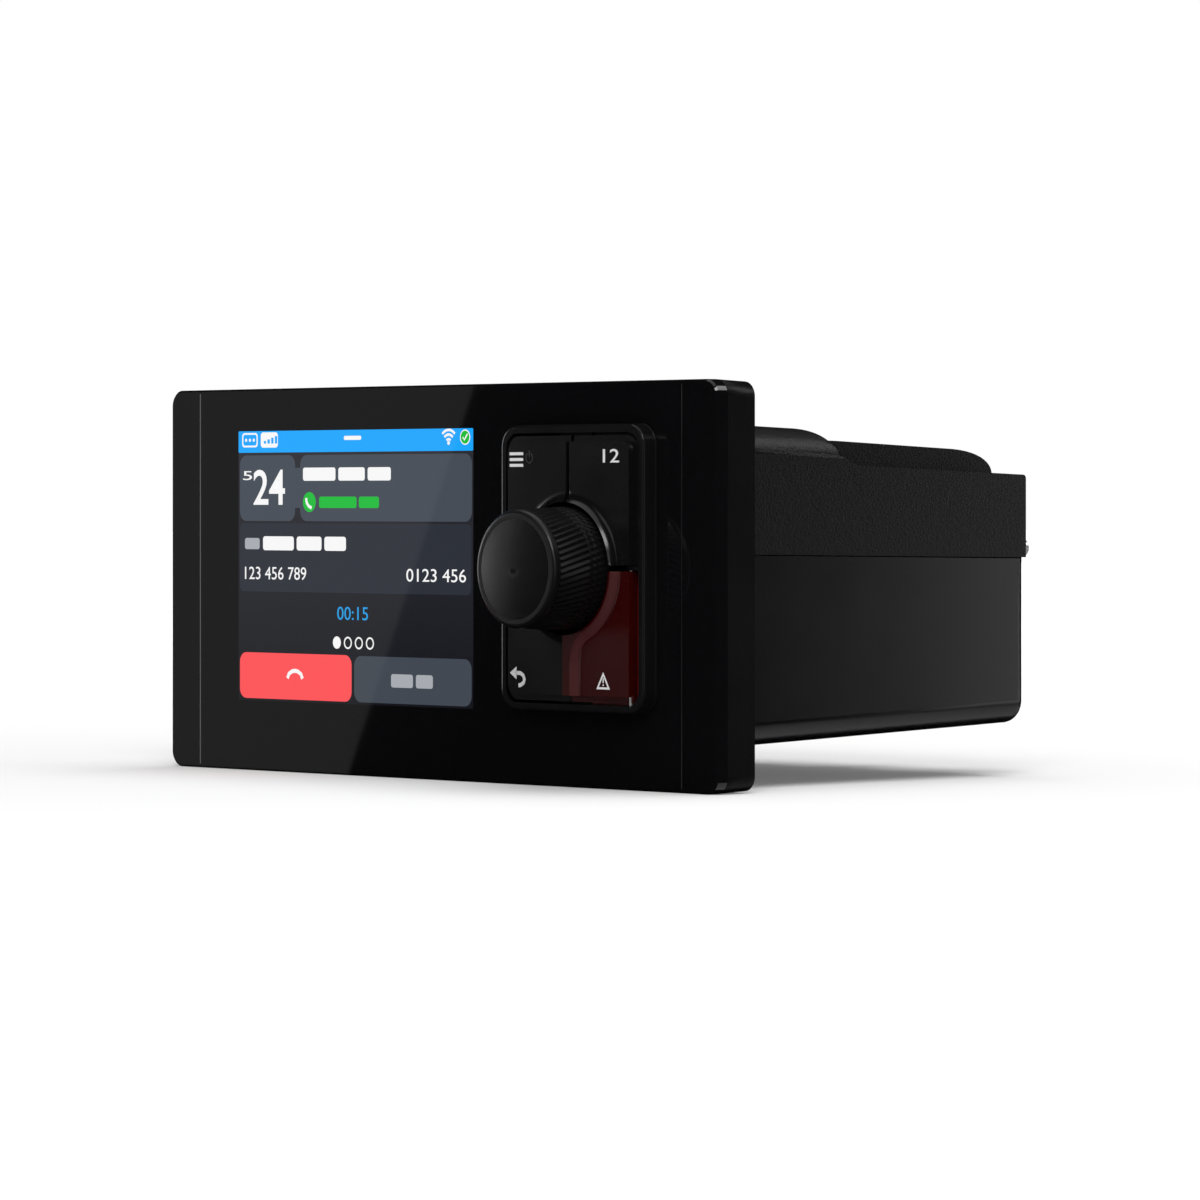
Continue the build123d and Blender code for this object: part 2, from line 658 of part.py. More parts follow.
# ================================================================== distress door
knuckle_bottom = pad_z - top_half_z
knuckle_top = pad_z + key_split - door_gap / 2
spring_middle = (knuckle_bottom + knuckle_top) / 2
spring_well_radius = pin_radius + 2 * spring_wire + 2 * running_gap
door_half_x = hinge_x + knuckle_radius - pad_x
with BuildPart() as distress_door:
    # raised left edge that sweeps into the cone round the knob
    with BuildSketch(at_depth(key_level)) as ridge:
        with Locations(pad_centre):
            Circle(collar_radius)
        with Locations((pad_x, pad_z - collar_radius)):
            Rectangle(2 * door_ridge, 2 * collar_radius)
        corner = ridge.vertices().sort_by_distance((pad_x + door_ridge, pad_z - collar_radius))[0]
        fillet(corner, door_ridge_blend)
    extrude(amount=collar_rise, taper=collar_slope)
    quadrant_prism(1, -1, key_level, collar_level, door_half_x, top_half_z, detail_corner,
                   mode=Mode.INTERSECT)
    quadrant_prism(1, -1, door_back, key_level, door_half_x, top_half_z, detail_corner)
    level_edges = distress_door.edges().filter_by_position(Axis.Y, key_level, key_level)
    inner_edges = level_edges.filter_by_position(Axis.X, pad_x + door_ridge / 2, hinge_x)
    foot_edges = inner_edges.filter_by_position(Axis.Z, knuckle_bottom + door_rim, knuckle_top - door_rim)
    fillet(foot_edges, collar_blend)
    quadrant_prism(1, -1, door_back, flange_level, door_half_x, key_half_z, detail_corner)
    with BuildSketch(Plane.XY.offset(knuckle_bottom)):
        with Locations((hinge_x, hinge_y)):
            Circle(knuckle_radius)
    extrude(amount=knuckle_top - knuckle_bottom)
    # hollow over the key, then the hinge bore and the room for its spring
    quadrant_prism(1, -1, door_back, door_inner, distress_half_x + door_air,
                   top_half_z - door_air, detail_corner, door_rim - door_air,
                   well_radius + door_rim - door_air, Mode.SUBTRACT)
    with BuildSketch(Plane.XY.offset(pin_bottom)):
        with Locations((hinge_x, hinge_y)):
            Circle(pin_radius + running_gap)
    extrude(amount=pin_top - pin_bottom, mode=Mode.SUBTRACT)
    with BuildSketch(Plane.XY.offset(spring_middle - spring_length / 2 - fit_gap)):
        with Locations((hinge_x, hinge_y)):
            Circle(spring_well_radius)
    extrude(amount=spring_length + 2 * fit_gap, mode=Mode.SUBTRACT)
finish(distress_door.part, "distress_door")

with BuildPart() as hinge_pin:
    with BuildSketch(Plane.XY.offset(pin_bottom)):
        with Locations((hinge_x, hinge_y)):
            Circle(pin_radius)
    extrude(amount=pin_top - pin_bottom)
finish(hinge_pin.part, "hinge_pin")

# coil of the torsion spring that shuts the door
coil_radius = pin_radius + spring_wire / 2 + running_gap
coil_height = spring_length - spring_wire
coil_start = (hinge_x, hinge_y, spring_middle - coil_height / 2)
with BuildPart() as door_spring:
    with BuildLine():
        Helix(coil_height / spring_turns, coil_height, coil_radius, center=coil_start)
    with BuildSketch(Plane(origin=(hinge_x + coil_radius, hinge_y, coil_start[2]),
                           x_dir=(1, 0, 0), z_dir=(0, 1, 0))):
        Circle(spring_wire / 2)
    sweep(is_frenet=True)
finish(door_spring.part, "door_spring")

# ================================================================== knob
rim_front = knob_level + knob_dome
knurl_front = rim_front + knob_rim_length
knurl_back = knob_back - knob_skirt
cap_back = rim_front + knob_cap_depth
web_back = cap_back + knob_web
shaft_front = web_back - knob_web / 2
shaft_back = board_front - shaft_tail
flat_back = knob_back


def knurl_outline(radius, turn):
    """Closed zigzag: ribs with straight flanks round a circle."""
    half_pitch = math.pi / knurl_count
    corners = []
    for index in range(2 * knurl_count):
        angle = index * half_pitch + turn
        reach = radius - knurl_depth * (index % 2)
        corners.append((pad_x + reach * math.cos(angle), pad_z + reach * math.sin(angle)))
    return corners


with BuildPart() as knob_grip:
    knurl_length = knurl_back - knurl_front
    full_turn = knurl_length * math.tan(math.radians(knurl_angle)) / knob_base_radius
    for step in range(knurl_steps + 1):
        share = step / knurl_steps
        radius = knob_base_radius + (knob_rim_radius - knob_base_radius) * share
        with BuildSketch(at_depth(knurl_back - share * knurl_length)):
            with BuildLine():
                Polyline(*knurl_outline(radius, -full_turn * share), close=True)
            make_face()
    loft(ruled=True)
    disc(knob_base_radius - knurl_depth, knob_back, knurl_back, pad_centre)
    disc(knob_rim_radius - knob_groove, knurl_front, knurl_front - knob_groove, pad_centre)
    disc(knob_rim_radius, knurl_front - knob_groove, rim_front, pad_centre)
    fillet(knob_grip.faces().sort_by(Axis.Y)[0].edges(), knob_edge)
    disc(knob_rim_radius - knurl_depth - knob_wall, knob_back, web_back, pad_centre, Mode.SUBTRACT)
    disc(hub_radius, knob_back - hub_recess, web_back, pad_centre)
    disc(knob_cap_radius, cap_back, rim_front, pad_centre, Mode.SUBTRACT)
    with BuildSketch(at_depth(knob_back)):
        with Locations(pad_centre):
            Circle(shaft_radius + running_gap)
        with Locations((pad_x, pad_z + 2 * shaft_radius - shaft_flat + running_gap)):
            Rectangle(4 * shaft_radius, 2 * shaft_radius, mode=Mode.SUBTRACT)
    extrude(amount=knob_back - shaft_front, mode=Mode.SUBTRACT)
finish(knob_grip.part, "knob_grip")

with BuildPart() as knob_face:
    with BuildSketch(Plane(origin=(pad_x, 0, pad_z), x_dir=(1, 0, 0), z_dir=(0, 0, 1))):
        with BuildLine():
            edge = knob_cap_radius - running_gap
            Line((0, knob_level), (0, cap_back))
            Line((0, cap_back), (edge, cap_back))
            Line((edge, cap_back), (edge, rim_front))
            TangentArc((0, knob_level), (edge, rim_front), tangent=(1, 0))
        make_face()
    revolve(axis=Axis((pad_x, 0, pad_z), (0, 1, 0)))
finish(knob_face.part, "knob_face")

# ================================================================== encoder
with BuildPart() as encoder_shaft:
    disc(shaft_radius, shaft_back, shaft_front + fit_gap, pad_centre)
    with BuildSketch(at_depth(flat_back)):
        with Locations((pad_x, pad_z + 2 * shaft_radius - shaft_flat)):
            Rectangle(4 * shaft_radius, 2 * shaft_radius)
    extrude(amount=flat_back - shaft_front, mode=Mode.SUBTRACT)
finish(encoder_shaft.part, "encoder_shaft")

with BuildPart() as encoder_body:
    slab(encoder_size, encoder_size, detail_corner, board_front, board_front - encoder_height, pad_centre)
    disc(bushing_radius, board_front - encoder_height, board_front - encoder_height - bushing_length,
         pad_centre)
    disc(shaft_radius + running_gap, board_front, board_front - encoder_height - bushing_length,
         pad_centre, Mode.SUBTRACT)
finish(encoder_body.part, "encoder_body")

with BuildPart() as switch_plunger:
    disc(plunger_radius, shaft_back + plunger_length, shaft_back, pad_centre)
    chamfer(switch_plunger.faces().sort_by(Axis.Y)[-1].edges(), 2 * fit_gap)
finish(switch_plunger.part, "switch_plunger")

with BuildPart() as encoder_washer:
    disc(washer_radius, boss_front, boss_front - washer_thickness, pad_centre)
    disc(bushing_radius + fit_gap, boss_front, boss_front - washer_thickness, pad_centre, Mode.SUBTRACT)
finish(encoder_washer.part, "encoder_washer")

with BuildPart() as encoder_nut:
    with BuildSketch(at_depth(boss_front - washer_thickness)):
        with Locations(pad_centre):
            RegularPolygon(nut_flats / 2, 6, major_radius=False)
            Circle(bushing_radius + thread_gap, mode=Mode.SUBTRACT)
    extrude(amount=nut_thickness)
finish(encoder_nut.part, "encoder_nut")

# ================================================================== front board and key mat
with BuildPart() as key_mat:
    slab(front_board_width - board_air, front_board_height - board_air, hollow_corner,
         board_front, mat_front, (front_board_x, front_board_z))
    slab(encoder_size + board_air, encoder_size + board_air, pocket_corner, board_front, mat_front,
         pad_centre, Mode.SUBTRACT)
    discs(post_radius + fit_gap, board_front, mat_front, board_holes, Mode.SUBTRACT)
    discs(dome_radius, mat_front, dome_level, stem_points)
finish(key_mat.part, "key_mat")

with BuildPart() as front_board:
    slab(front_board_width, front_board_height, hollow_corner, board_back, board_front,
         (front_board_x, front_board_z))
    discs(small_screw_radius + fit_gap, board_back, board_front, board_holes, Mode.SUBTRACT)
finish(front_board.part, "front_board")

with BuildPart() as front_board_screws:
    for centre in board_holes:
        disc(small_head_radius, board_back + small_head_height, board_back, centre)
        disc(small_screw_radius - thread_gap, board_back, board_front - board_screw_reach, centre)
finish(front_board_screws.part, "front_board_screws")


# ================================================================== body
def body_form(inset, y_front, y_back):
    """Solid of the tapering body, with every side moved in by inset."""
    with BuildPart() as form:
        for y in (y_front, y_back):
            narrowing = inset + (y - body_front) * math.tan(math.radians(body_draft))
            with BuildSketch(at_depth(y)) as section:
                with Locations(body_centre):
                    Rectangle(body_width - 2 * narrowing, body_height - 2 * narrowing)
                fillet(section.vertices().group_by(Axis.Y)[-1], max(body_top_corner - inset, detail_corner))
                fillet(section.vertices().group_by(Axis.Y)[0], max(body_bottom_corner - inset, detail_corner))
        loft()
    return form.part


def side_prism(corners, reach, mode):
    """Prism across the radio from a side-view outline of (Y, Z) corners, in the part being built."""
    with BuildSketch(Plane.YZ) as outline:
        with BuildLine():
            Polyline(*corners, close=True)
        make_face()
    extrude(outline.sketch, amount=reach, both=True, mode=mode)


def above_seam(gap, mode):
    """Keep or remove all that lies above the split line, raised by gap."""
    start = -body_depth
    end = 2 * body_depth
    side_prism([(start, seam_height(start) + gap), (end, seam_height(end) + gap),
                (end, 3 * body_top), (start, 3 * body_top)], body_width, mode)


hump_ceiling = body_top - body_wall - room_margin / 2
open_front = body_front - cavity_overrun


def body_cavity():
    """Hollow of the body: one room for both halves, higher under the hump and the deck."""
    with BuildPart() as cavity:
        add(body_form(body_wall, open_front, body_depth - body_wall))
        with BuildSketch(Plane.XY.offset(cover_ceiling)):
            Rectangle(2 * body_width, 3 * body_depth)
        extrude(amount=body_top, mode=Mode.SUBTRACT)
        low = cover_ceiling - 2 * room_corner
        slab(deck_width - 2 * (body_wall + room_margin), deck_ceiling - low, room_corner,
             deck_end - room_margin, open_front, (0, (deck_ceiling + low) / 2))
        slab(body_width - 2 * (body_wall + room_margin), hump_ceiling - low, room_corner,
             hump_length - body_wall, open_front, (0, (hump_ceiling + low) / 2))
    return cavity.part


def swept_step(start, end, fall_start, fall_end):
    """Side-view S curve from one level to another, as a line of the sketch being built."""
    run = end - start
    Bezier((start, fall_start), (start + 0.6 * run, fall_start), (end - 0.6 * run, fall_end), (end, fall_end))


def posts(radius, centres, z_low, z_high_front, z_high_rear):
    """Round posts up to the ceiling: higher under the hump than behind it."""
    for x, y in centres:
        top = z_high_front if y < hump_length else z_high_rear
        with BuildSketch(Plane.XY.offset(z_low)) as foot:
            with Locations((x, y)):
                Circle(radius)
        extrude(foot.sketch, amount=top - z_low)


case_screw_x = body_width / 2 - case_screw_inset
case_rows = (case_screw_front, body_depth - case_screw_end)
case_points = [(sx * case_screw_x, y) for sx in (-1, 1) for y in case_rows]
main_board_width = body_width - 2 * main_board_side
main_board_rear = body_depth - main_board_end
main_post_x = main_board_width / 2 - main_post_side
post_rows = (main_board_front + main_post_inset, main_board_rear - main_post_inset)
main_posts = [(sx * main_post_x, y) for sx in (-1, 1) for y in post_rows]
hump_end_level = body_top - (hump_length - body_front) * math.tan(math.radians(body_draft))
upper_lugs = [point for point in lug_points if point[1] > body_centre[1]]
lower_lugs = [point for point in lug_points if point[1] < body_centre[1]]
amplifier_y = main_board_rear - amplifier_end
ground_x = body_width / 2 - (body_depth - body_front) * math.tan(math.radians(body_draft)) - ground_inset
ground_z = seam_rear + ground_rise
sky = 2 * body_top
behind = body_depth + body_wall
deck_half = deck_width / 2
nose = deck_tip - deck_end
shoulder_fall = (shoulder_front - shoulder_rear) / (behind - shoulder_start)
tip_level = shoulder_rear + shoulder_fall * (behind - deck_tip)
drop = deck_rear - tip_level
room = body_cavity()
board_top = main_board_level + board_thickness
amplifier_top = board_top + amplifier_height

with BuildPart() as upper_cover:
    add(body_form(0, body_front, body_depth))
    above_seam(seam_line / 2, Mode.INTERSECT)
    # stepped shoulders along both sides
    for side in (-1, 1):
        with BuildSketch(Plane.YZ.offset(side * deck_half)):
            with BuildLine():
                swept_step(hump_length, shoulder_start, hump_end_level, shoulder_front)
                Line((shoulder_start, shoulder_front), (behind, shoulder_rear))
                Line((behind, shoulder_rear), (behind, sky))
                Line((behind, sky), (hump_length, sky))
                Line((hump_length, sky), (hump_length, hump_end_level))
            make_face()
        extrude(amount=side * body_width, mode=Mode.SUBTRACT)
    # deck between them, rounded down at its rear end
    with BuildSketch(Plane.YZ):
        with BuildLine():
            swept_step(hump_length, shoulder_start, hump_end_level, deck_front)
            Line((shoulder_start, deck_front), (deck_end, deck_rear))
            Bezier((deck_end, deck_rear), (deck_end + 0.6 * nose, deck_rear - 0.07 * drop),
                   (deck_tip, deck_rear - 0.45 * drop), (deck_tip, tip_level))
            Line((deck_tip, tip_level), (behind, shoulder_rear))
            Line((behind, shoulder_rear), (behind, sky))
            Line((behind, sky), (hump_length, sky))
            Line((hump_length, sky), (hump_length, hump_end_level))
        make_face()
    extrude(amount=deck_half, both=True, mode=Mode.SUBTRACT)
    rear_edges = upper_cover.faces().sort_by(Axis.Y)[-1].edges()
    fillet(rear_edges.group_by(Axis.Z)[-1], cover_rear_edge)
    add(room, mode=Mode.SUBTRACT)
    # threaded bosses, posts of the main board and the pad that cools the amplifier
    posts(tower_radius, case_points, seam_rear, hump_ceiling + ceiling_bite, cover_ceiling + ceiling_bite)
    posts(main_post_radius, main_posts, board_top, hump_ceiling + ceiling_bite,
          deck_ceiling + ceiling_bite)
    with BuildSketch(Plane.XY.offset(amplifier_top + thermal_pad)):
        with Locations((amplifier_x, amplifier_y)):
            Rectangle(amplifier_width, amplifier_depth)
    extrude(amount=deck_ceiling + ceiling_bite - amplifier_top - thermal_pad)
    discs(lug_radius, lug_length, body_front, upper_lugs)
    disc(ground_boss_radius, body_depth - body_wall / 2, body_depth - ground_thread_length - thread_relief,
         (ground_x, ground_z + ground_boss_rise))
    above_seam(seam_line / 2, Mode.INTERSECT)
    with BuildSketch(Plane.XY):
        with Locations(*case_points):
            Circle(case_screw_radius)
    extrude(amount=seam_front + case_thread + thread_relief, mode=Mode.SUBTRACT)
    with BuildSketch(Plane.XY.offset(board_top)):
        with Locations(*main_posts):
            Circle(small_screw_radius)
    extrude(amount=main_screw_reach + thread_relief, mode=Mode.SUBTRACT)
    discs(case_screw_radius, lug_screw_reach + thread_relief, body_front, upper_lugs, Mode.SUBTRACT)
    disc(ground_thread_radius, body_depth, body_depth - ground_thread_length, (ground_x, ground_z),
         Mode.SUBTRACT)
finish(upper_cover.part, "upper_cover")

# ================================================================== case seal
with BuildPart() as case_seal:
    add(body_form((body_wall - seal_width) / 2, body_front, body_depth - (body_wall - seal_width) / 2))
    add(body_form((body_wall + seal_width) / 2, open_front, body_depth - (body_wall + seal_width) / 2),
        mode=Mode.SUBTRACT)
    above_seam(-seam_line / 2 - seal_depth, Mode.INTERSECT)
    above_seam(seam_line / 2, Mode.SUBTRACT)
finish(case_seal.part, "case_seal")

# ================================================================== lower housing
socket_y = body_depth
antenna_centre = (antenna_x, socket_z)
antenna_screws_at = [
    (antenna_x + sx * antenna_hole_pitch / 2, socket_z + sz * antenna_hole_pitch / 2)
    for sx in (-1, 1)
    for sz in (-1, 1)
]
round_sockets = (
    ("network_socket", network_x, network_radius, network_pins),
    ("mic_socket", mic_x, mic_radius, mic_pins),
    ("power_socket", power_x, power_radius, power_pins),
)
with BuildPart() as lower_housing:
    add(body_form(0, body_front, body_depth))
    rear_face = lower_housing.faces().sort_by(Axis.Y)[-1]
    fillet(rear_face.edges().group_by(Axis.Z)[0], body_rear_edge)
    above_seam(-seam_line / 2, Mode.SUBTRACT)
    add(room, mode=Mode.SUBTRACT)
    with BuildSketch(Plane.XY.offset(body_bottom + body_wall / 2)):
        with Locations(*case_points):
            Circle(tower_radius)
    extrude(amount=seam_front - body_bottom)
    discs(lug_radius, lug_length, body_front, lower_lugs)
    above_seam(-seam_line / 2, Mode.SUBTRACT)
    add(body_form(0, body_front, body_depth), mode=Mode.INTERSECT)
    # screw holes: a deep counterbore from below, then the shank
    with BuildSketch(Plane.XY.offset(body_bottom)):
        with Locations(*case_points):
            Circle(case_head_radius + fit_gap)
    extrude(amount=case_head_level - body_bottom, mode=Mode.SUBTRACT)
    with BuildSketch(Plane.XY.offset(case_head_level)):
        with Locations(*case_points):
            Circle(case_screw_radius + fit_gap)
    extrude(amount=seam_front + seam_line - case_head_level, mode=Mode.SUBTRACT)
    discs(case_screw_radius, lug_screw_reach + thread_relief, body_front, lower_lugs, Mode.SUBTRACT)
    # openings of the rear sockets, and the threads of the antenna flange
    discs(small_screw_radius, socket_y, socket_y - 2 * body_wall, antenna_screws_at, Mode.SUBTRACT)
    disc(antenna_tail_radius + fit_gap, socket_y, socket_y - 2 * body_wall, antenna_centre, Mode.SUBTRACT)
    disc(locator_radius + fit_gap, socket_y, socket_y - 2 * body_wall, (locator_x, socket_z), Mode.SUBTRACT)
    for name, x, radius, pins in round_sockets:
        disc(radius - socket_wall + fit_gap, socket_y, socket_y - 2 * body_wall, (x, socket_z), Mode.SUBTRACT)
    add(case_seal.part, mode=Mode.SUBTRACT)
finish(lower_housing.part, "lower_housing")

# ================================================================== screws of the body
with BuildPart() as case_screws:
    for x, y in case_points:
        with BuildSketch(Plane.XY.offset(case_head_level)) as head:
            with Locations((x, y)):
                Circle(case_head_radius)
        extrude(head.sketch, amount=-case_head_height)
        with BuildSketch(Plane.XY.offset(case_head_level)) as shank:
            with Locations((x, y)):
                Circle(case_screw_radius - thread_gap)
        extrude(shank.sketch, amount=seam_front + case_thread - case_head_level)
finish(case_screws.part, "case_screws")

with BuildPart() as bezel_screws:
    for centre in lug_points:
        disc(lug_head_radius, lug_head_level, lug_head_level - lug_head_height, centre)
        disc(case_screw_radius - thread_gap, lug_screw_reach, lug_head_level, centre)
finish(bezel_screws.part, "bezel_screws")

with BuildPart() as ground_screw:
    disc(ground_head_radius, body_depth + ground_head_height, body_depth, (ground_x, ground_z))
    chamfer(ground_screw.faces().sort_by(Axis.Y)[-1].edges(), ground_edge)
    disc(ground_thread_radius - thread_gap, body_depth,
         body_depth - ground_thread_length + thread_relief, (ground_x, ground_z))
finish(ground_screw.part, "ground_screw")

# ================================================================== main board
board_centre_y = (main_board_front + main_board_rear) / 2
with BuildPart() as main_board:
    with BuildSketch(Plane.XY.offset(main_board_level)):
        with Locations((0, board_centre_y)):
            RectangleRounded(main_board_width, main_board_rear - main_board_front, hollow_corner)
        with Locations(*main_posts):
            Circle(small_screw_radius + fit_gap, mode=Mode.SUBTRACT)
    extrude(amount=board_thickness)
finish(main_board.part, "main_board")

with BuildPart() as main_board_screws:
    for x, y in main_posts:
        with BuildSketch(Plane.XY.offset(main_board_level)) as head:
            with Locations((x, y)):
                Circle(small_head_radius)
        extrude(head.sketch, amount=-small_head_height)
        with BuildSketch(Plane.XY.offset(main_board_level)) as shank:
            with Locations((x, y)):
                Circle(small_screw_radius - thread_gap)
        extrude(shank.sketch, amount=board_thickness + main_screw_reach)
finish(main_board_screws.part, "main_board_screws")

with BuildPart() as power_amplifier:
    with BuildSketch(Plane.XY.offset(board_top)):
        with Locations((amplifier_x, amplifier_y)):
            RectangleRounded(amplifier_width - 2 * part_margin, amplifier_depth - 2 * part_margin,
                             pocket_corner)
    extrude(amount=amplifier_height)
finish(power_amplifier.part, "power_amplifier")

with BuildPart() as thermal_pad_sheet:
    with BuildSketch(Plane.XY.offset(amplifier_top)):
        with Locations((amplifier_x, amplifier_y)):
            Rectangle(amplifier_width - 4 * part_margin, amplifier_depth - 4 * part_margin)
    extrude(amount=thermal_pad)
finish(thermal_pad_sheet.part, "thermal_pad")

with BuildPart() as shield_can:
    with BuildSketch(Plane.XY.offset(main_board_level)):
        with Locations((shield_x, board_centre_y)):
            RectangleRounded(shield_width, shield_depth, pocket_corner)
    extrude(amount=-shield_height)
    with BuildSketch(Plane.XY.offset(main_board_level)):
        with Locations((shield_x, board_centre_y)):
            Rectangle(shield_width - 2 * shield_wall, shield_depth - 2 * shield_wall)
    extrude(amount=-shield_height + shield_wall, mode=Mode.SUBTRACT)
finish(shield_can.part, "shield_can")

# right-angle connector that plugs the front board into the main board
with BuildPart() as board_connector:
    with BuildSketch(Plane.XY.offset(main_board_level)):
        with Locations((connector_x, (board_back + connector_end) / 2)):
            Rectangle(connector_width, connector_end - board_back)
    extrude(amount=-connector_height)
finish(board_connector.part, "board_connector")


# ================================================================== rear sockets
def pin_ring(x, radius, pins):
    """Centres of the contact pins of a round socket."""
    circle = (radius - socket_wall) * socket_pin_circle
    turns = [2 * math.pi * index / pins for index in range(pins)]
    return [(x + circle * math.sin(turn), socket_z + circle * math.cos(turn)) for turn in turns]


socket_end = socket_y + socket_flange_thickness + socket_length
socket_floor = socket_end - socket_length + socket_floor_thickness
for name, x, radius, pins in round_sockets:
    centre = (x, socket_z)
    with BuildPart() as socket:
        disc(radius + socket_flange_rim, socket_y + socket_flange_thickness, socket_y, centre)
        chamfer(socket.faces().sort_by(Axis.Y)[-1].edges(), socket_edge)
        disc(radius, socket_end, socket_y, centre)
        disc(radius - socket_wall, socket_end, socket_floor, centre, Mode.SUBTRACT)
        disc(radius - socket_wall, socket_y, socket_y - body_wall - socket_tail, centre)
        # key rib inside the mouth
        with BuildSketch(at_depth(socket_end - socket_key_inset)):
            with Locations((x, socket_z + radius - socket_wall)):
                Rectangle(socket_key, socket_key)
        extrude(amount=socket_length - socket_key_inset - socket_floor_thickness)
    finish(socket.part, name)

with BuildPart() as socket_pins:
    for name, x, radius, pins in round_sockets:
        discs(socket_pin_radius, socket_floor + socket_pin_length, socket_floor, pin_ring(x, radius, pins))
finish(socket_pins.part, "socket_pins")

antenna_face = socket_y + antenna_flange_thickness
antenna_end = antenna_face + antenna_barrel_length
with BuildPart() as antenna_socket:
    slab(antenna_flange, antenna_flange, antenna_corner, antenna_face, socket_y, antenna_centre)
    disc(antenna_barrel_radius, antenna_end, antenna_face, antenna_centre)
    disc(antenna_barrel_radius - antenna_wall, antenna_end, socket_y, antenna_centre, Mode.SUBTRACT)
    discs(small_screw_radius + fit_gap, antenna_face, socket_y, antenna_screws_at, Mode.SUBTRACT)
finish(antenna_socket.part, "antenna_socket")

with BuildPart() as antenna_insulator:
    disc(antenna_barrel_radius - antenna_wall - thread_gap, antenna_end - antenna_recess, socket_y,
         antenna_centre)
    disc(antenna_tail_radius, socket_y, socket_y - antenna_tail, antenna_centre)
    disc(antenna_pin_hole + antenna_contact_wall + thread_gap, antenna_end, socket_y - antenna_tail,
         antenna_centre, Mode.SUBTRACT)
finish(antenna_insulator.part, "antenna_insulator")

with BuildPart() as antenna_contact:
    disc(antenna_pin_hole + antenna_contact_wall, antenna_end - antenna_recess,
         socket_y - antenna_tail - antenna_contact_tail, antenna_centre)
    disc(antenna_pin_hole, antenna_end, antenna_face, antenna_centre, Mode.SUBTRACT)
finish(antenna_contact.part, "antenna_contact")

with BuildPart() as antenna_screws:
    for centre in antenna_screws_at:
        disc(small_head_radius, antenna_face + small_head_height, antenna_face, centre)
        disc(small_screw_radius - thread_gap, antenna_face, socket_y - body_wall, centre)
finish(antenna_screws.part, "antenna_screws")

locator_centre = (locator_x, socket_z)
locator_end = socket_y + locator_nut_thickness + locator_length
with BuildPart() as locator_socket:
    with BuildSketch(at_depth(socket_y + locator_nut_thickness)):
        with Locations(locator_centre):
            RegularPolygon(locator_nut / 2, 6, major_radius=False)
    extrude(amount=locator_nut_thickness)
    disc(locator_radius, locator_end, socket_y - body_wall - locator_tail, locator_centre)
    disc(locator_radius - locator_wall, locator_end, socket_y + locator_mouth, locator_centre, Mode.SUBTRACT)
    disc(locator_core_radius, locator_end - antenna_recess, socket_y + locator_mouth, locator_centre)
finish(locator_socket.part, "locator_socket")
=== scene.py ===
import math

import bmesh
import bpy
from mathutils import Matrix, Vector


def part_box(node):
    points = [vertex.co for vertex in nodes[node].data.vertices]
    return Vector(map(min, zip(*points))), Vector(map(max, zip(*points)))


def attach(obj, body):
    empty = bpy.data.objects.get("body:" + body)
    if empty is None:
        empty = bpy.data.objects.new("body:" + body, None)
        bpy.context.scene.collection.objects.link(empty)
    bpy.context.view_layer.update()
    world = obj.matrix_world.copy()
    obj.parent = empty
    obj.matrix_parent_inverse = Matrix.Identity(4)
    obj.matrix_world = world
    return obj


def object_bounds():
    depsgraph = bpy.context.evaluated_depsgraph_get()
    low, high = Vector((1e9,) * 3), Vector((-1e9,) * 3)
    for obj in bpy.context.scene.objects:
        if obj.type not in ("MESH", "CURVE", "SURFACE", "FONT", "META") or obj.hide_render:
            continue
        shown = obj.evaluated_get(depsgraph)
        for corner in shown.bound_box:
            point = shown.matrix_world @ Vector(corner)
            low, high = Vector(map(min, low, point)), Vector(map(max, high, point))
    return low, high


# The flush-mounted radio in a plain white studio. Lengths are in metres, in the frame of the CAD
# model: +Z up, the front faces -Y, the panel plane is Y = 0. Flat shapes on the front are drawn
# in millimetres, as (x, z) points from the origin that their section names.
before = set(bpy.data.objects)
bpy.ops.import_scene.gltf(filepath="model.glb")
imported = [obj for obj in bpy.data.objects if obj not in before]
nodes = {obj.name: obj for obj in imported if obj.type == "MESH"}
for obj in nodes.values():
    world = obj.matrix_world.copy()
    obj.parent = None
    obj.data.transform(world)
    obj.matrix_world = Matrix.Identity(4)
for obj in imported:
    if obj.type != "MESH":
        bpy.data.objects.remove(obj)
cad_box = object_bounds()
MM = 0.001

# ------------------------------------------------------------------ places read from the frame
LENS_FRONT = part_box("front_lens")[0].y
FLOOR_Z = cad_box[0].z
glass_low, glass_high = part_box("display_panel")
cap_low, cap_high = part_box("left_trim_cap")
pad_low, pad_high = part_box("keypad_surround")


# ------------------------------------------------------------------ nodes of the materials
def new_material(name):
    material = bpy.data.materials.new(name)
    material.use_nodes = True
    tree = material.node_tree
    tree.nodes.clear()
    output = tree.nodes.new("ShaderNodeOutputMaterial")
    shader = tree.nodes.new("ShaderNodeBsdfPrincipled")
    tree.links.new(shader.outputs["BSDF"], output.inputs["Surface"])
    return material, tree, shader


def noise(tree, scale, detail=4.0, stretch=(1, 1, 1)):
    """Noise in object space; stretch above 1 squeezes it along that axis."""
    place = tree.nodes.new("ShaderNodeTexCoord")
    mapping = tree.nodes.new("ShaderNodeMapping")
    mapping.inputs["Scale"].default_value = stretch
    texture = tree.nodes.new("ShaderNodeTexNoise")
    texture.inputs["Scale"].default_value = scale
    texture.inputs["Detail"].default_value = detail
    tree.links.new(place.outputs["Object"], mapping.inputs["Vector"])
    tree.links.new(mapping.outputs["Vector"], texture.inputs["Vector"])
    return texture.outputs["Fac"]


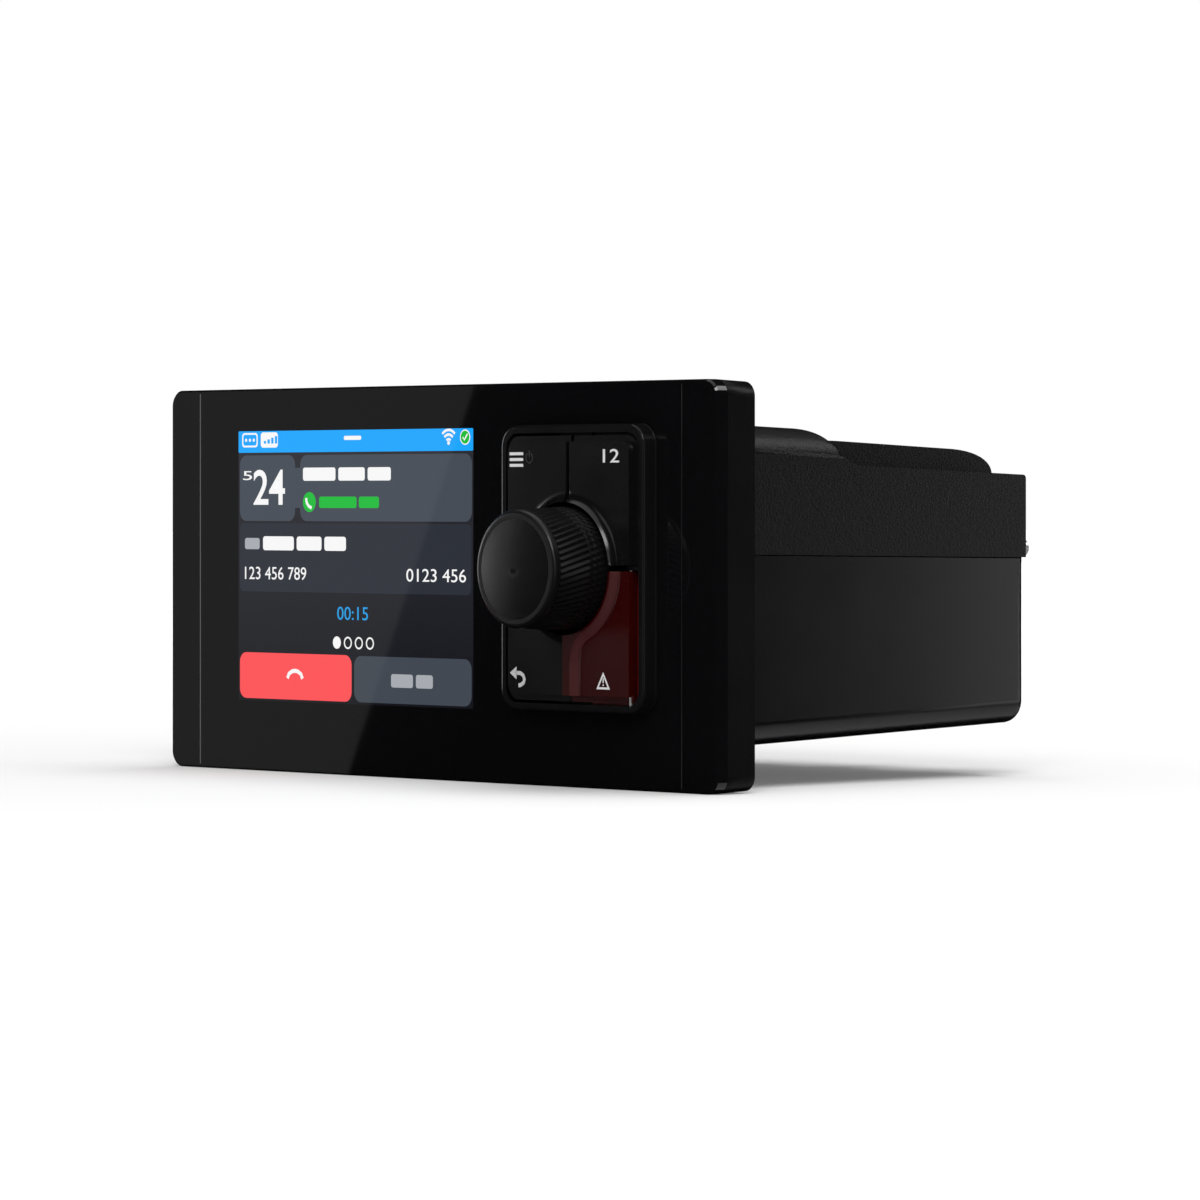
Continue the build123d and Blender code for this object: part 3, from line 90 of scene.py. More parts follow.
def spread(tree, value, start, end, low, high):
    """Maps the values from start to end to those from low to high."""
    span = tree.nodes.new("ShaderNodeMapRange")
    span.inputs["From Min"].default_value = start
    span.inputs["From Max"].default_value = end
    span.inputs["To Min"].default_value = low
    span.inputs["To Max"].default_value = high
    tree.links.new(value, span.inputs["Value"])
    return span.outputs["Result"]


def tint(tree, value, low, high):
    """Colour between two others."""
    mix = tree.nodes.new("ShaderNodeMix")
    mix.data_type = "RGBA"
    mix.inputs["A"].default_value = (*low, 1)
    mix.inputs["B"].default_value = (*high, 1)
    tree.links.new(value, mix.inputs["Factor"])
    return mix.outputs["Result"]


def axis(tree, vector, letter):
    """One number of a vector."""
    parts = tree.nodes.new("ShaderNodeSeparateXYZ")
    tree.links.new(vector, parts.inputs["Vector"])
    return parts.outputs[letter]


def combined(tree, operation, first, second):
    """Result of a calculation with two values."""
    node = tree.nodes.new("ShaderNodeMath")
    node.operation = operation
    tree.links.new(first, node.inputs[0])
    tree.links.new(second, node.inputs[1])
    return node.outputs[0]


def bump(tree, shader, value, depth):
    node = tree.nodes.new("ShaderNodeBump")
    node.inputs["Strength"].default_value = 1.0
    node.inputs["Distance"].default_value = depth
    tree.links.new(value, node.inputs["Height"])
    tree.links.new(node.outputs["Normal"], shader.inputs["Normal"])


def painted_slope_highlight(tree, colour, slope_highlight):
    """Painted highlight: the tinted plastic is made paler on its sloping faces, between the front
    and the side walls, where those slopes catch the light.
    """
    place = tree.nodes.new("ShaderNodeTexCoord")
    turned_away = spread(tree, axis(tree, place.outputs["Normal"], "Y"), -1.0, 0.0, 0.0, 1.0)
    slope = tree.nodes.new("ShaderNodeValToRGB")
    stops = slope.color_ramp.elements
    black, white = (0, 0, 0, 1), (1, 1, 1, 1)
    stops[0].position, stops[0].color = 0.08, black
    stops[1].position, stops[1].color = 0.72, black
    stops.new(0.36).color = white
    stops.new(0.5).color = white
    mix = tree.nodes.new("ShaderNodeMix")
    mix.data_type = "RGBA"
    mix.inputs["B"].default_value = (*slope_highlight, 1)
    tree.links.new(turned_away, slope.inputs["Fac"])
    tree.links.new(slope.outputs["Color"], mix.inputs["Factor"])
    tree.links.new(colour, mix.inputs["A"])
    return mix.outputs["Result"]


# ------------------------------------------------------------------ finishes of the solids
NOISE_LOW, NOISE_HIGH = 0.3, 0.7  # most of a noise lies between these
COAT_ROUGHNESS = 0.05


def surface(name, dark, light, rough, grain=900.0, grain_depth=0.0, patches=60.0, metal=0.0,
            specular=0.5, coat=0.0, stretch=(1, 1, 1), slope_highlight=None):
    """A moulded, coated or metal surface: two close colours, uneven gloss, a fine grain and, if
    given, a painted highlight on the sloping faces.
    """
    material, tree, shader = new_material(name)
    slow = noise(tree, patches, 3.0, stretch)
    fine = noise(tree, grain, 2.0, stretch)
    colour = tint(tree, slow, dark, light)
    # painted highlight: the colour turns paler on faces that slope away from the front
    if slope_highlight:
        colour = painted_slope_highlight(tree, colour, slope_highlight)
    tree.links.new(colour, shader.inputs["Base Color"])
    tree.links.new(spread(tree, slow, NOISE_LOW, NOISE_HIGH, *rough), shader.inputs["Roughness"])
    shader.inputs["Metallic"].default_value = metal
    shader.inputs["Specular IOR Level"].default_value = specular
    shader.inputs["Coat Weight"].default_value = coat
    shader.inputs["Coat Roughness"].default_value = COAT_ROUGHNESS
    if grain_depth:
        bump(tree, shader, fine, grain_depth)
    return material


recipes = {
    "gloss_black": dict(dark=(0.003, 0.003, 0.0035), light=(0.004, 0.004, 0.0045),
                        rough=(0.016, 0.024), patches=25),
    "bezel_texture": dict(dark=(0.0025, 0.0025, 0.0027), light=(0.0045, 0.0045, 0.0045),
                          rough=(0.29, 0.33), grain=2600, grain_depth=0.00003, specular=0.1),
    "surround_black": dict(dark=(0.004, 0.004, 0.0045), light=(0.006, 0.006, 0.0065),
                           rough=(0.16, 0.2), grain=2000, grain_depth=0.000004, specular=0.2),
    "key_black": dict(dark=(0.003, 0.003, 0.0032), light=(0.0045, 0.0045, 0.0047),
                      rough=(0.19, 0.23), grain=3000, grain_depth=0.000006, specular=0.38),
    "knob_black": dict(dark=(0.003, 0.003, 0.0033), light=(0.005, 0.005, 0.0053),
                       rough=(0.3, 0.36), grain=3000, grain_depth=0.000006, specular=0.36),
    "knob_cap": dict(dark=(0.002, 0.002, 0.0022), light=(0.003, 0.003, 0.0032),
                     rough=(0.2, 0.23), grain=4000, grain_depth=0.000004, specular=1.0),
    # the door's paler colour on its slopes is a painted highlight on the ridge and collar
    "door_red": dict(dark=(0.028, 0.0008, 0.001), light=(0.036, 0.0012, 0.0014),
                     rough=(0.2, 0.24), coat=0.2, slope_highlight=(0.12, 0.042, 0.044)),
    "distress_red": dict(dark=(0.3, 0.01, 0.01), light=(0.36, 0.014, 0.014), rough=(0.4, 0.45)),
    "cover_grain": dict(dark=(0.001, 0.001, 0.0012), light=(0.006, 0.006, 0.006),
                        rough=(0.34, 0.42), grain=2400, grain_depth=0.00008, patches=2600,
                        specular=0.28, stretch=(1, 0.7, 1)),
    "housing_satin": dict(dark=(0.004, 0.004, 0.0043), light=(0.006, 0.006, 0.0063),
                          rough=(0.22, 0.25), grain=2400, grain_depth=0.00001, specular=0.45),
    "seal_black": dict(dark=(0.001, 0.001, 0.001), light=(0.002, 0.002, 0.002),
                       rough=(0.7, 0.8), specular=0.1),
    "rubber": dict(dark=(0.012, 0.012, 0.012), light=(0.02, 0.02, 0.02),
                   rough=(0.7, 0.85), grain_depth=0.00004),
    "steel": dict(dark=(0.5, 0.5, 0.5), light=(0.62, 0.62, 0.63), rough=(0.25, 0.38), metal=1.0,
                  grain=1500, grain_depth=0.00001),
    "tin": dict(dark=(0.55, 0.55, 0.56), light=(0.66, 0.66, 0.67), rough=(0.3, 0.45), metal=1.0),
    "nickel": dict(dark=(0.6, 0.58, 0.55), light=(0.7, 0.68, 0.65), rough=(0.14, 0.24), metal=1.0),
    "brass": dict(dark=(0.62, 0.42, 0.16), light=(0.75, 0.53, 0.22), rough=(0.22, 0.34),
                  metal=1.0),
    "board": dict(dark=(0.006, 0.05, 0.022), light=(0.012, 0.085, 0.035), rough=(0.3, 0.42),
                  patches=220),
    "chip": dict(dark=(0.012, 0.012, 0.012), light=(0.02, 0.02, 0.02), rough=(0.5, 0.6),
                 grain_depth=0.00002),
    "pad_grey": dict(dark=(0.16, 0.18, 0.2), light=(0.22, 0.24, 0.27), rough=(0.7, 0.8),
                     grain_depth=0.00003),
    "connector": dict(dark=(0.01, 0.01, 0.01), light=(0.016, 0.016, 0.016), rough=(0.4, 0.5),
                      grain=2400, grain_depth=0.00001),
    "insulator": dict(dark=(0.75, 0.74, 0.7), light=(0.83, 0.82, 0.79), rough=(0.3, 0.4)),
    "glass": dict(dark=(0.008, 0.01, 0.014), light=(0.012, 0.015, 0.02), rough=(0.05, 0.09)),
    # the first of these two is a painted highlight along the left trim cap's edge; the second is a
    # dark seam line
    "painted_edge_highlight": dict(dark=(0.09, 0.09, 0.09), light=(0.11, 0.11, 0.11), rough=(0.5, 0.6)),
    "edge_dim": dict(dark=(0.006, 0.006, 0.006), light=(0.008, 0.008, 0.008), rough=(0.5, 0.6)),
    "legend": dict(dark=(0.72, 0.72, 0.72), light=(0.8, 0.8, 0.8), rough=(0.35, 0.45)),
    "legend_faint": dict(dark=(0.015, 0.015, 0.016), light=(0.02, 0.02, 0.021),
                         rough=(0.4, 0.5)),
}
finishes = {name: surface(name, **recipe) for name, recipe in recipes.items()}

finished_nodes = {
    "gloss_black": ("front_lens", "left_trim_cap", "right_trim_cap"),
    "bezel_texture": ("front_bezel",),
    "surround_black": ("keypad_surround",),
    "key_black": ("menu_key", "channel_key", "back_key"),
    "knob_black": ("knob_grip",),
    "knob_cap": ("knob_face",),
    "door_red": ("distress_door",),
    "distress_red": ("distress_key",),
    "cover_grain": ("upper_cover",),
    "housing_satin": ("lower_housing",),
    "seal_black": ("case_seal",),
    "rubber": ("panel_gasket", "key_mat"),
    "steel": ("hinge_pin", "door_spring", "encoder_shaft", "encoder_washer", "front_board_screws",
              "case_screws", "bezel_screws", "ground_screw", "main_board_screws",
              "antenna_screws"),
    "tin": ("display_tray", "encoder_body", "shield_can"),
    "nickel": ("antenna_socket",),
    "brass": ("encoder_nut", "socket_pins", "antenna_contact", "locator_socket"),
    "board": ("front_board", "main_board"),
    "chip": ("power_amplifier",),
    "pad_grey": ("thermal_pad",),
    "connector": ("switch_plunger", "board_connector", "network_socket", "mic_socket",
                  "power_socket"),
    "insulator": ("antenna_insulator",),
    "glass": ("display_panel",),
}


def dress_nodes():
    for finish, names in finished_nodes.items():
        for name in names:
            materials = nodes[name].data.materials
            materials.clear()
            materials.append(finishes[finish])


# ------------------------------------------------------------------ softened edges of the solids
JOIN_DISTANCE = 1e-6  # the CAD meshes have split corners, which a bevel can't follow
SHARP_ANGLE = math.radians(35)
EDGE_STEPS = 3
soft_edges = {
    0.25: ("menu_key", "channel_key", "back_key", "distress_door"),
    0.35: ("upper_cover",),
    0.2: ("lower_housing", "front_bezel"),
}


def soften(node, width):
    """Rounds the sharp edges of a solid."""
    joined = node.modifiers.new("joined", "WELD")
    joined.merge_threshold = JOIN_DISTANCE
    edge = node.modifiers.new("edge", "BEVEL")
    edge.width = width
    edge.segments = EDGE_STEPS
    edge.limit_method = "ANGLE"
    edge.angle_limit = SHARP_ANGLE


def soften_edges():
    for width, names in soft_edges.items():
        for name in names:
            soften(nodes[name], width * MM)


# ------------------------------------------------------------------ outlines of flat shapes
def rounded(x0, z0, x1, z1, radius, steps=8):
    """Rounded rectangle, anticlockwise."""
    points = []
    corners = ((x1 - radius, z1 - radius, 0), (x0 + radius, z1 - radius, 90),
               (x0 + radius, z0 + radius, 180), (x1 - radius, z0 + radius, 270))
    for x, z, start in corners:
        for step in range(steps + 1):
            turn = math.radians(start + 90 * step / steps)
            points.append((x + radius * math.cos(turn), z + radius * math.sin(turn)))
    return points


def bars(edges, z0, z1, radius):
    """Rounded bars side by side, each given by its left and right edge."""
    return [rounded(left, z0, right, z1, radius) for left, right in edges]


def circle(x, z, radius, steps=40):
    turns = [2 * math.pi * step / steps for step in range(steps)]
    return [(x + radius * math.cos(turn), z + radius * math.sin(turn)) for turn in turns]


def arc_band(x, z, radius, width, start, end, steps=20):
    """Band along an arc, from start to end in degrees."""
    turns = [math.radians(start + (end - start) * step / steps) for step in range(steps + 1)]
    outer, inner = [[(x + reach * math.cos(turn), z + reach * math.sin(turn)) for turn in turns]
                    for reach in (radius + width / 2, radius - width / 2)]
    return outer + inner[::-1]


def stroke(points, width):
    """Band of even width along an open line of points."""
    left, right = [], []
    for index, point in enumerate(points):
        before = Vector(points[max(index - 1, 0)])
        after = Vector(points[min(index + 1, len(points) - 1)])
        along = (after - before).normalized()
        side = Vector((-along.y, along.x)) * width / 2
        left.append(tuple(Vector(point) + side))
        right.append(tuple(Vector(point) - side))
    return left + right[::-1]


def moved(loops, x, z):
    """The same outlines from another origin."""
    return [[(x + along, z + up) for along, up in loop] for loop in loops]


# ------------------------------------------------------------------ flat shapes as pieces
TOUCHING = 1e-7  # corners closer than this are one corner
TYPE_SIZE = 10.0


def mesh_of(name, curve):
    """Mesh of a filled curve or of a text."""
    source = bpy.data.objects.new(name + "_line", curve)
    bpy.context.scene.collection.objects.link(source)
    bpy.context.view_layer.update()
    drawn = source.evaluated_get(bpy.context.evaluated_depsgraph_get())
    mesh = bpy.data.meshes.new_from_object(drawn)
    bpy.data.objects.remove(source)
    mesh.name = name
    return mesh


def upright(mesh, level, thickness, finish, body):
    """Piece made of a flat mesh: stood upright, with its back at the given level."""
    for vertex in mesh.vertices:
        x, z, depth = vertex.co
        vertex.co = (x, level - thickness * MM / 2 - depth, z)
    work = bmesh.new()
    work.from_mesh(mesh)
    bmesh.ops.remove_doubles(work, verts=work.verts, dist=TOUCHING)
    bmesh.ops.recalc_face_normals(work, faces=work.faces)
    work.to_mesh(mesh)
    work.free()
    mesh.materials.clear()
    mesh.materials.append(finish)
    piece = bpy.data.objects.new(mesh.name, mesh)
    bpy.context.scene.collection.objects.link(piece)
    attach(piece, body)


def flat(name, loops, level, thickness, finish, body):
    """Thin raised shape facing the front: closed outlines, the holes among them."""
    curve = bpy.data.curves.new(name, "CURVE")
    curve.dimensions = "2D"
    curve.fill_mode = "BOTH"
    curve.extrude = thickness * MM / 2
    for loop in loops:
        spline = curve.splines.new("POLY")
        spline.points.add(len(loop) - 1)
        for point, (x, z) in zip(spline.points, loop):
            point.co = (x * MM, z * MM, 0, 1)
        spline.use_cyclic_u = True
    upright(mesh_of(name, curve), level, thickness, finish, body)


def digits(name, text, box, level, thickness, weight, finish, body):
    """Plain numbers fitted into a box, which is x0, z0, x1 and z1."""
    curve = bpy.data.curves.new(name, "FONT")
    curve.body = text
    curve.size = TYPE_SIZE * MM
    curve.offset = weight * MM
    curve.extrude = thickness * MM / 2
    curve.resolution_u = 4
    mesh = mesh_of(name, curve)
    x0, z0, x1, z1 = (side * MM for side in box)
    xs = [vertex.co.x for vertex in mesh.vertices]
    zs = [vertex.co.y for vertex in mesh.vertices]
    left, wide = min(xs), (x1 - x0) / (max(xs) - min(xs))
    foot, tall = min(zs), (z1 - z0) / (max(zs) - min(zs))
    for vertex in mesh.vertices:
        vertex.co.x = x0 + (vertex.co.x - left) * wide
        vertex.co.y = z0 + (vertex.co.y - foot) * tall
    upright(mesh, level, thickness, finish, body)


# ------------------------------------------------------------------ picture on the display
# Its origin is its lower left corner.
LAYER = 0.02  # thickness of each layer of the picture
SIDE_FRAME, FOOT_FRAME, TOP_FRAME = 1.975, 1.725, 2.125  # glass that stays dark round it
LEFT, FOOT = glass_low.x / MM + SIDE_FRAME, glass_low.z / MM + FOOT_FRAME
WIDTH = glass_high.x / MM - SIDE_FRAME - LEFT
HEIGHT = glass_high.z / MM - TOP_FRAME - FOOT
MARGIN = 0.5
BAR_FOOT = 55.2
CARD_FOOT, CARD_TOP, CARD_CORNER = 40.0, 54.6, 2.2
PANEL_FOOT, PANEL_TOP = 24.3, 39.5
BUTTON_FOOT, BUTTON_TOP = 0.5, 10.7
LINE_FOOT, LINE_TOP = 27.0, 29.8  # of the numbers at the foot of the panel
WAVES_X, SIGN_X, SIGN_Z = 71.9, 77.3, 58.1
PICTURE_BLACK = (0.004, 0.004, 0.005, 1)
PICTURE_GLOSS = 0.02


def srgb(red, green, blue):
    """Linear colour of an 8-bit screen colour."""
    return tuple(((c / 255 + 0.055) / 1.055) ** 2.4 if c > 10 else c / 255 / 12.92
                 for c in (red, green, blue))


def glow(name, colour, foot_colour=None):
    """Lit part of the picture: emission under the gloss of the front plate."""
    material, tree, shader = new_material(name)
    shader.inputs["Base Color"].default_value = PICTURE_BLACK
    shader.inputs["Roughness"].default_value = PICTURE_GLOSS
    if foot_colour:
        place = tree.nodes.new("ShaderNodeTexCoord")
        height = axis(tree, place.outputs["Object"], "Z")
        rise = spread(tree, height, FOOT * MM, (FOOT + HEIGHT) * MM, 0.0, 1.0)
        light = tint(tree, rise, foot_colour, colour)
    else:
        faint = tuple(0.94 * c for c in colour)
        light = tint(tree, noise(tree, 30.0), faint, colour)
    tree.links.new(light, shader.inputs["Emission Color"])
    shader.inputs["Emission Strength"].default_value = 1.0
    return material


screen = {
    "ground": glow("picture_ground", srgb(44, 45, 51), srgb(17, 18, 23)),
    "bar_blue": glow("bar_blue", srgb(24, 168, 255)),
    "card_grey": glow("card_grey", srgb(70, 77, 87)),
    "panel_grey": glow("panel_grey", srgb(44, 48, 57)),
    "alarm_red": glow("alarm_red", srgb(255, 84, 88)),
    "button_grey": glow("button_grey", srgb(66, 73, 82)),
    "white": glow("ink_white", srgb(250, 250, 250)),
    "soft": glow("ink_soft", srgb(170, 174, 180)),
    "green": glow("ink_green", srgb(30, 190, 60)),
    "blue": glow("ink_blue", srgb(40, 160, 230)),
}


def shown(name, colour, layer, *loops):
    """Shape in the picture; a higher layer lies over a lower one."""
    flat(name, moved(loops, LEFT, FOOT), LENS_FRONT - layer * LAYER * MM, LAYER, screen[colour],
         "radio")


def shown_digits(name, text, x0, z0, x1, z1, colour="white", weight=0.0):
    box = (LEFT + x0, FOOT + z0, LEFT + x1, FOOT + z1)
    digits(name, text, box, LENS_FRONT - 2 * LAYER * MM, LAYER, weight, screen[colour],
           "radio")


def draw_grounds():
    shown("picture_ground", "ground", 0, rounded(0, 0, WIDTH, HEIGHT, 0.3))
    shown("status_bar", "bar_blue", 1, rounded(0, BAR_FOOT, WIDTH, HEIGHT, 0.3))
    shown("channel_card", "card_grey", 1,
          rounded(MARGIN, CARD_FOOT, 19.9, CARD_TOP, CARD_CORNER))
    shown("call_card", "card_grey", 1, rounded(21.7, CARD_FOOT, 79.5, CARD_TOP, CARD_CORNER))
    shown("card_neck", "card_grey", 1.4, rounded(18.7, 42.9, 22.9, 51.8, 1.0))
    shown("name_panel", "panel_grey", 1, rounded(MARGIN, PANEL_FOOT, 79.3, PANEL_TOP, 1.4))
    shown("end_button", "alarm_red", 1,
          rounded(MARGIN, BUTTON_FOOT, 39.4, BUTTON_TOP, CARD_CORNER))
    shown("send_button", "button_grey", 1,
          rounded(40.3, BUTTON_FOOT, 79.4, BUTTON_TOP - 0.1, CARD_CORNER))


def draw_status_bar():
    """Two tags, a dash, radio waves and a green sign."""
    shown("power_tag", "white", 2, rounded(1.3, 56.4, 6.8, 59.6, 0.8),
          rounded(1.7, 56.8, 6.4, 59.2, 0.5))
    shown("power_tag_dots", "white", 2, *(circle(2.7 + 1.35 * dot, 58.0, 0.36) for dot in range(3)))
    shown("range_tag", "white", 2, rounded(7.9, 56.3, 13.9, 59.7, 0.8))
    shown("range_tag_bars", "bar_blue", 3,
          *(rounded(9.0 + 1.3 * bar, 57.2, 9.8 + 1.3 * bar, 57.8 + 0.35 * bar, 0.1)
            for bar in range(4)))
    shown("status_dash", "white", 2, rounded(36.8, 57.8, 42.7, 58.7, 0.4))
    for wave in range(3):
        shown(f"wave_{wave}", "white", 2, arc_band(WAVES_X, 56.8, 0.9 + wave, 0.55, 45, 135))
    shown("wave_dot", "white", 2.2, circle(WAVES_X, 56.9, 0.42))
    shown("ready_rim", "white", 2, circle(SIGN_X, SIGN_Z, 1.65))
    shown("ready_disc", "green", 3, circle(SIGN_X, SIGN_Z, 1.4))
    shown("ready_tick", "white", 4, stroke([(76.6, 58.1), (77.1, 57.5), (78.1, 58.8)], 0.35))


def draw_cards():
    """The channel's number, and bars where a radio shows words about the call."""
    shown_digits("channel_small", "5", 1.6, 49.1, 4.8, 51.1)
    shown_digits("channel_number", "24", 5.3, 43.6, 16.4, 51.4, weight=0.12)
    shown("call_title", "white", 2,
          *bars([(22.7, 33.9), (34.9, 43.9), (44.9, 52.7)], 48.9, 51.8, 0.6))
    shown("call_disc", "green", 2, circle(24.9, 44.2, 2.2))
    shown("call_state", "green", 2, *bars([(28.3, 41.1), (41.9, 48.7)], 42.9, 45.4, 0.6))
    shown("call_handset", "white", 3,
          stroke([(23.8, 45.1), (24.0, 44.1), (24.7, 43.3), (25.7, 42.9)], 0.7))


def draw_caller():
    """Bars for the caller's name, plain numbers and the time of the call."""
    shown("caller_label", "soft", 2, rounded(2.3, 33.7, 7.5, 36.2, 0.6))
    shown("caller_name", "white", 2,
          *bars([(8.7, 19.5), (20.5, 29.1), (30.1, 37.5)], 33.5, 36.6, 0.7))
    shown_digits("caller_number", "123 456 789", 2.3, LINE_FOOT, 23.8, LINE_TOP)
    shown_digits("caller_code", "0123 456", 57.9, LINE_FOOT, 77.6, LINE_TOP)
    shown_digits("call_time", "00:15", 34.5, 18.4, 45.0, 21.3, "blue")


def draw_page_dots(z=13.4, radius=1.35, rim=0.35):
    """A full dot for the page that shows, and rings for the others."""
    for page in range(4):
        x = 34.4 + 3.75 * page
        loops = [circle(x, z, radius)]
        if page:
            loops.append(circle(x, z, radius - rim))
        shown(f"page_dot_{page}", "white", 2, *loops)


def draw_buttons():
    """Handset on the red button, and bars on the grey one."""
    hook = [(17.3, 5.2), (17.8, 6.2), (19.0, 6.8), (19.9, 6.9), (20.8, 6.8), (22.0, 6.2),
            (22.5, 5.2)]
    shown("end_handset", "white", 2, stroke(hook, 0.9))
    shown("send_label", "soft", 2, *bars([(52.8, 60.1), (61.1, 66.7)], 4.0, 6.9, 0.6))


# ------------------------------------------------------------------ lines at the trim caps' seams: a painted highlight and a dark line
EDGE_INSET = 0.9
EDGE_THICKNESS = 0.01


def cap_edge(cap, x, width, finish):
    """Fine line beside the seam of a trim cap, as a thin sheet in the given finish."""
    foot, top = cap_low.z / MM + EDGE_INSET, cap_high.z / MM - EDGE_INSET
    flat(cap + "_edge", [rounded(x, foot, x + width, top, 0.02)], LENS_FRONT, EDGE_THICKNESS,
         finishes[finish], cap)


def draw_cap_edges():
    seam_x = cap_high.x / MM  # of the left cap; the right cap is its mirror image
    # On the left cap the line is a painted highlight, where the cap's edge catches the light; on
    # the right it is a dark seam line.
    cap_edge("left_trim_cap", seam_x - 0.36, 0.34, "painted_edge_highlight")
    cap_edge("right_trim_cap", -seam_x + 0.02, 0.16, "edge_dim")


# ------------------------------------------------------------------ legends on the keys
# Their origin is the middle of the keypad.
LEGEND = 0.015  # thickness of the print
KEY_RISE = 1.0  # from the keypad surround to the keys' flat tops
KEY_TOP = pad_low.y - KEY_RISE * MM
PAD_X, PAD_Z = [(pad_low[side] + pad_high[side]) / 2 / MM for side in (0, 2)]


def printed(name, key, *loops, finish="legend", slot="key_rubber"):
    flat(name, moved(loops, PAD_X, PAD_Z), KEY_TOP, LEGEND, finishes[finish], key)


def draw_menu_legend():
    """Three bars, and the faint sign for power."""
    for bar in range(3):
        top = 24.35 - 1.22 * bar
        printed(f"menu_bar_{bar}", "menu_key", rounded(-18.3, top - 0.62, -14.0, top, 0.1))
    printed("power_ring", "menu_key", arc_band(-12.1, 23.15, 1.05, 0.22, 120, 420),
            finish="legend_faint")
    printed("power_mark", "menu_key", rounded(-12.22, 23.25, -11.98, 24.75, 0.05),
            finish="legend_faint")


def draw_channel_legend():
    box = (PAD_X + 10.9, PAD_Z + 22.05, PAD_X + 15.9, PAD_Z + 24.85)
    digits("key_number", "12", box, KEY_TOP, LEGEND, 0.05, finishes["legend"], "channel_key")


def draw_back_legend():
    """Arrow that turns back to the left."""
    turn = [(-16.3, -22.1), (-14.9, -22.1), (-14.0, -22.55), (-13.6, -23.35), (-13.9, -24.15),
            (-14.9, -24.65), (-15.5, -24.7)]
    printed("return_line", "back_key", stroke(turn, 0.85))
    printed("return_head", "back_key", [(-16.1, -20.75), (-18.2, -22.1), (-16.1, -23.45)])


def draw_distress_legend():
    """Warning triangle with its stroke and dot."""
    printed("distress_mark", "distress_door", [(11.0, -21.35), (13.1, -24.95), (8.9, -24.95)],
            [(11.0, -22.2), (12.35, -24.5), (9.65, -24.5)], slot="door_red")
    printed("distress_mark_bar", "distress_door", rounded(10.84, -23.65, 11.16, -22.65, 0.05),
            circle(11.0, -24.05, 0.2, 12), slot="door_red")


# ------------------------------------------------------------------ camera
CAMERA = Vector((0.9567, -0.8306, 0.01754))  # level with the radio, 1.27 m to its front right
HEADING = Vector((-0.7402, 0.6724, 0.0))
FOCAL_LENGTH, SENSOR = 175.44, 36.0  # in millimetres
RISE = -0.0825


def place_camera():
    data = bpy.data.cameras.new("camera")
    data.lens = FOCAL_LENGTH
    data.sensor_width = SENSOR
    data.shift_y = RISE
    camera = bpy.data.objects.new("camera", data)
    camera.location = CAMERA
    camera.rotation_euler = HEADING.to_track_quat("-Z", "Y").to_euler()
    bpy.context.scene.collection.objects.link(camera)
    bpy.context.scene.camera = camera


# ------------------------------------------------------------------ floor, world and lamps
FLOOR_REACH = 8.0
FLOOR_COLOUR = (0.6, 0.6, 0.6, 1)
FLOOR_ROUGHNESS = 0.9
LAMPS_FADE = 0.16, 1.5  # distances from the radio between which the lamps' light falls off
FLOOR_GLOW = 0.13, 0.8  # at these distances
WORLD_LIGHT = 0.5
WHITE = (1, 1, 1, 1)
BLACK = (0, 0, 0, 1)


def sheet(name, corners, material):
    """Flat stage piece through its corners."""
    mesh = bpy.data.meshes.new(name)
    mesh.from_pydata(corners, [], [range(len(corners))])
    mesh.materials.append(material)
    card = bpy.data.objects.new(name, mesh)
    bpy.context.scene.collection.objects.link(card)
    return card


def matt(name, colour, roughness):
    """Material without any gloss, for a stage piece that glows white."""
    material, tree, shader = new_material(name)
    shader.inputs["Base Color"].default_value = colour
    shader.inputs["Roughness"].default_value = roughness
    shader.inputs["Specular IOR Level"].default_value = 0.0
    shader.inputs["Emission Color"].default_value = WHITE
    return material, tree, shader.inputs["Emission Strength"]


def seen_directly(tree):
    """One for rays from the camera, a mirror or glass, and nought for the others."""
    rays = tree.nodes.new("ShaderNodeLightPath").outputs
    mirrored = combined(tree, "MAXIMUM", rays["Is Camera Ray"], rays["Is Glossy Ray"])
    return combined(tree, "MAXIMUM", mirrored, rays["Is Transmission Ray"])


def lay_floor():
    """White floor, whose own glow rises as the light of the lamps falls off."""
    material, tree, strength = matt("floor_white", FLOOR_COLOUR, FLOOR_ROUGHNESS)
    place = tree.nodes.new("ShaderNodeTexCoord")
    distance = tree.nodes.new("ShaderNodeVectorMath")
    distance.operation = "LENGTH"
    tree.links.new(place.outputs["Object"], distance.inputs[0])
    rising = spread(tree, distance.outputs["Value"], *LAMPS_FADE, *FLOOR_GLOW)
    tree.links.new(combined(tree, "MULTIPLY", rising, seen_directly(tree)), strength)
    corners = [(FLOOR_REACH * x, FLOOR_REACH * y, FLOOR_Z)
               for x, y in ((-1, -1), (1, -1), (1, 1), (-1, 1))]
    floor = sheet("floor", corners, material)
    floor.visible_glossy = False


def light_world():
    """White to look at, and half as strong as a light."""
    world = bpy.data.worlds.new("studio")
    bpy.context.scene.world = world
    world.use_nodes = True
    tree = world.node_tree
    tree.nodes.clear()
    output = tree.nodes.new("ShaderNodeOutputWorld")
    light, seen = [tree.nodes.new("ShaderNodeBackground") for _ in range(2)]
    light.inputs["Color"].default_value = WHITE
    light.inputs["Strength"].default_value = WORLD_LIGHT
    seen.inputs["Color"].default_value = WHITE
    choice = tree.nodes.new("ShaderNodeMixShader")
    tree.links.new(seen_directly(tree), choice.inputs["Fac"])
    tree.links.new(light.outputs[0], choice.inputs[1])
    tree.links.new(seen.outputs[0], choice.inputs[2])
    tree.links.new(choice.outputs[0], output.inputs["Surface"])


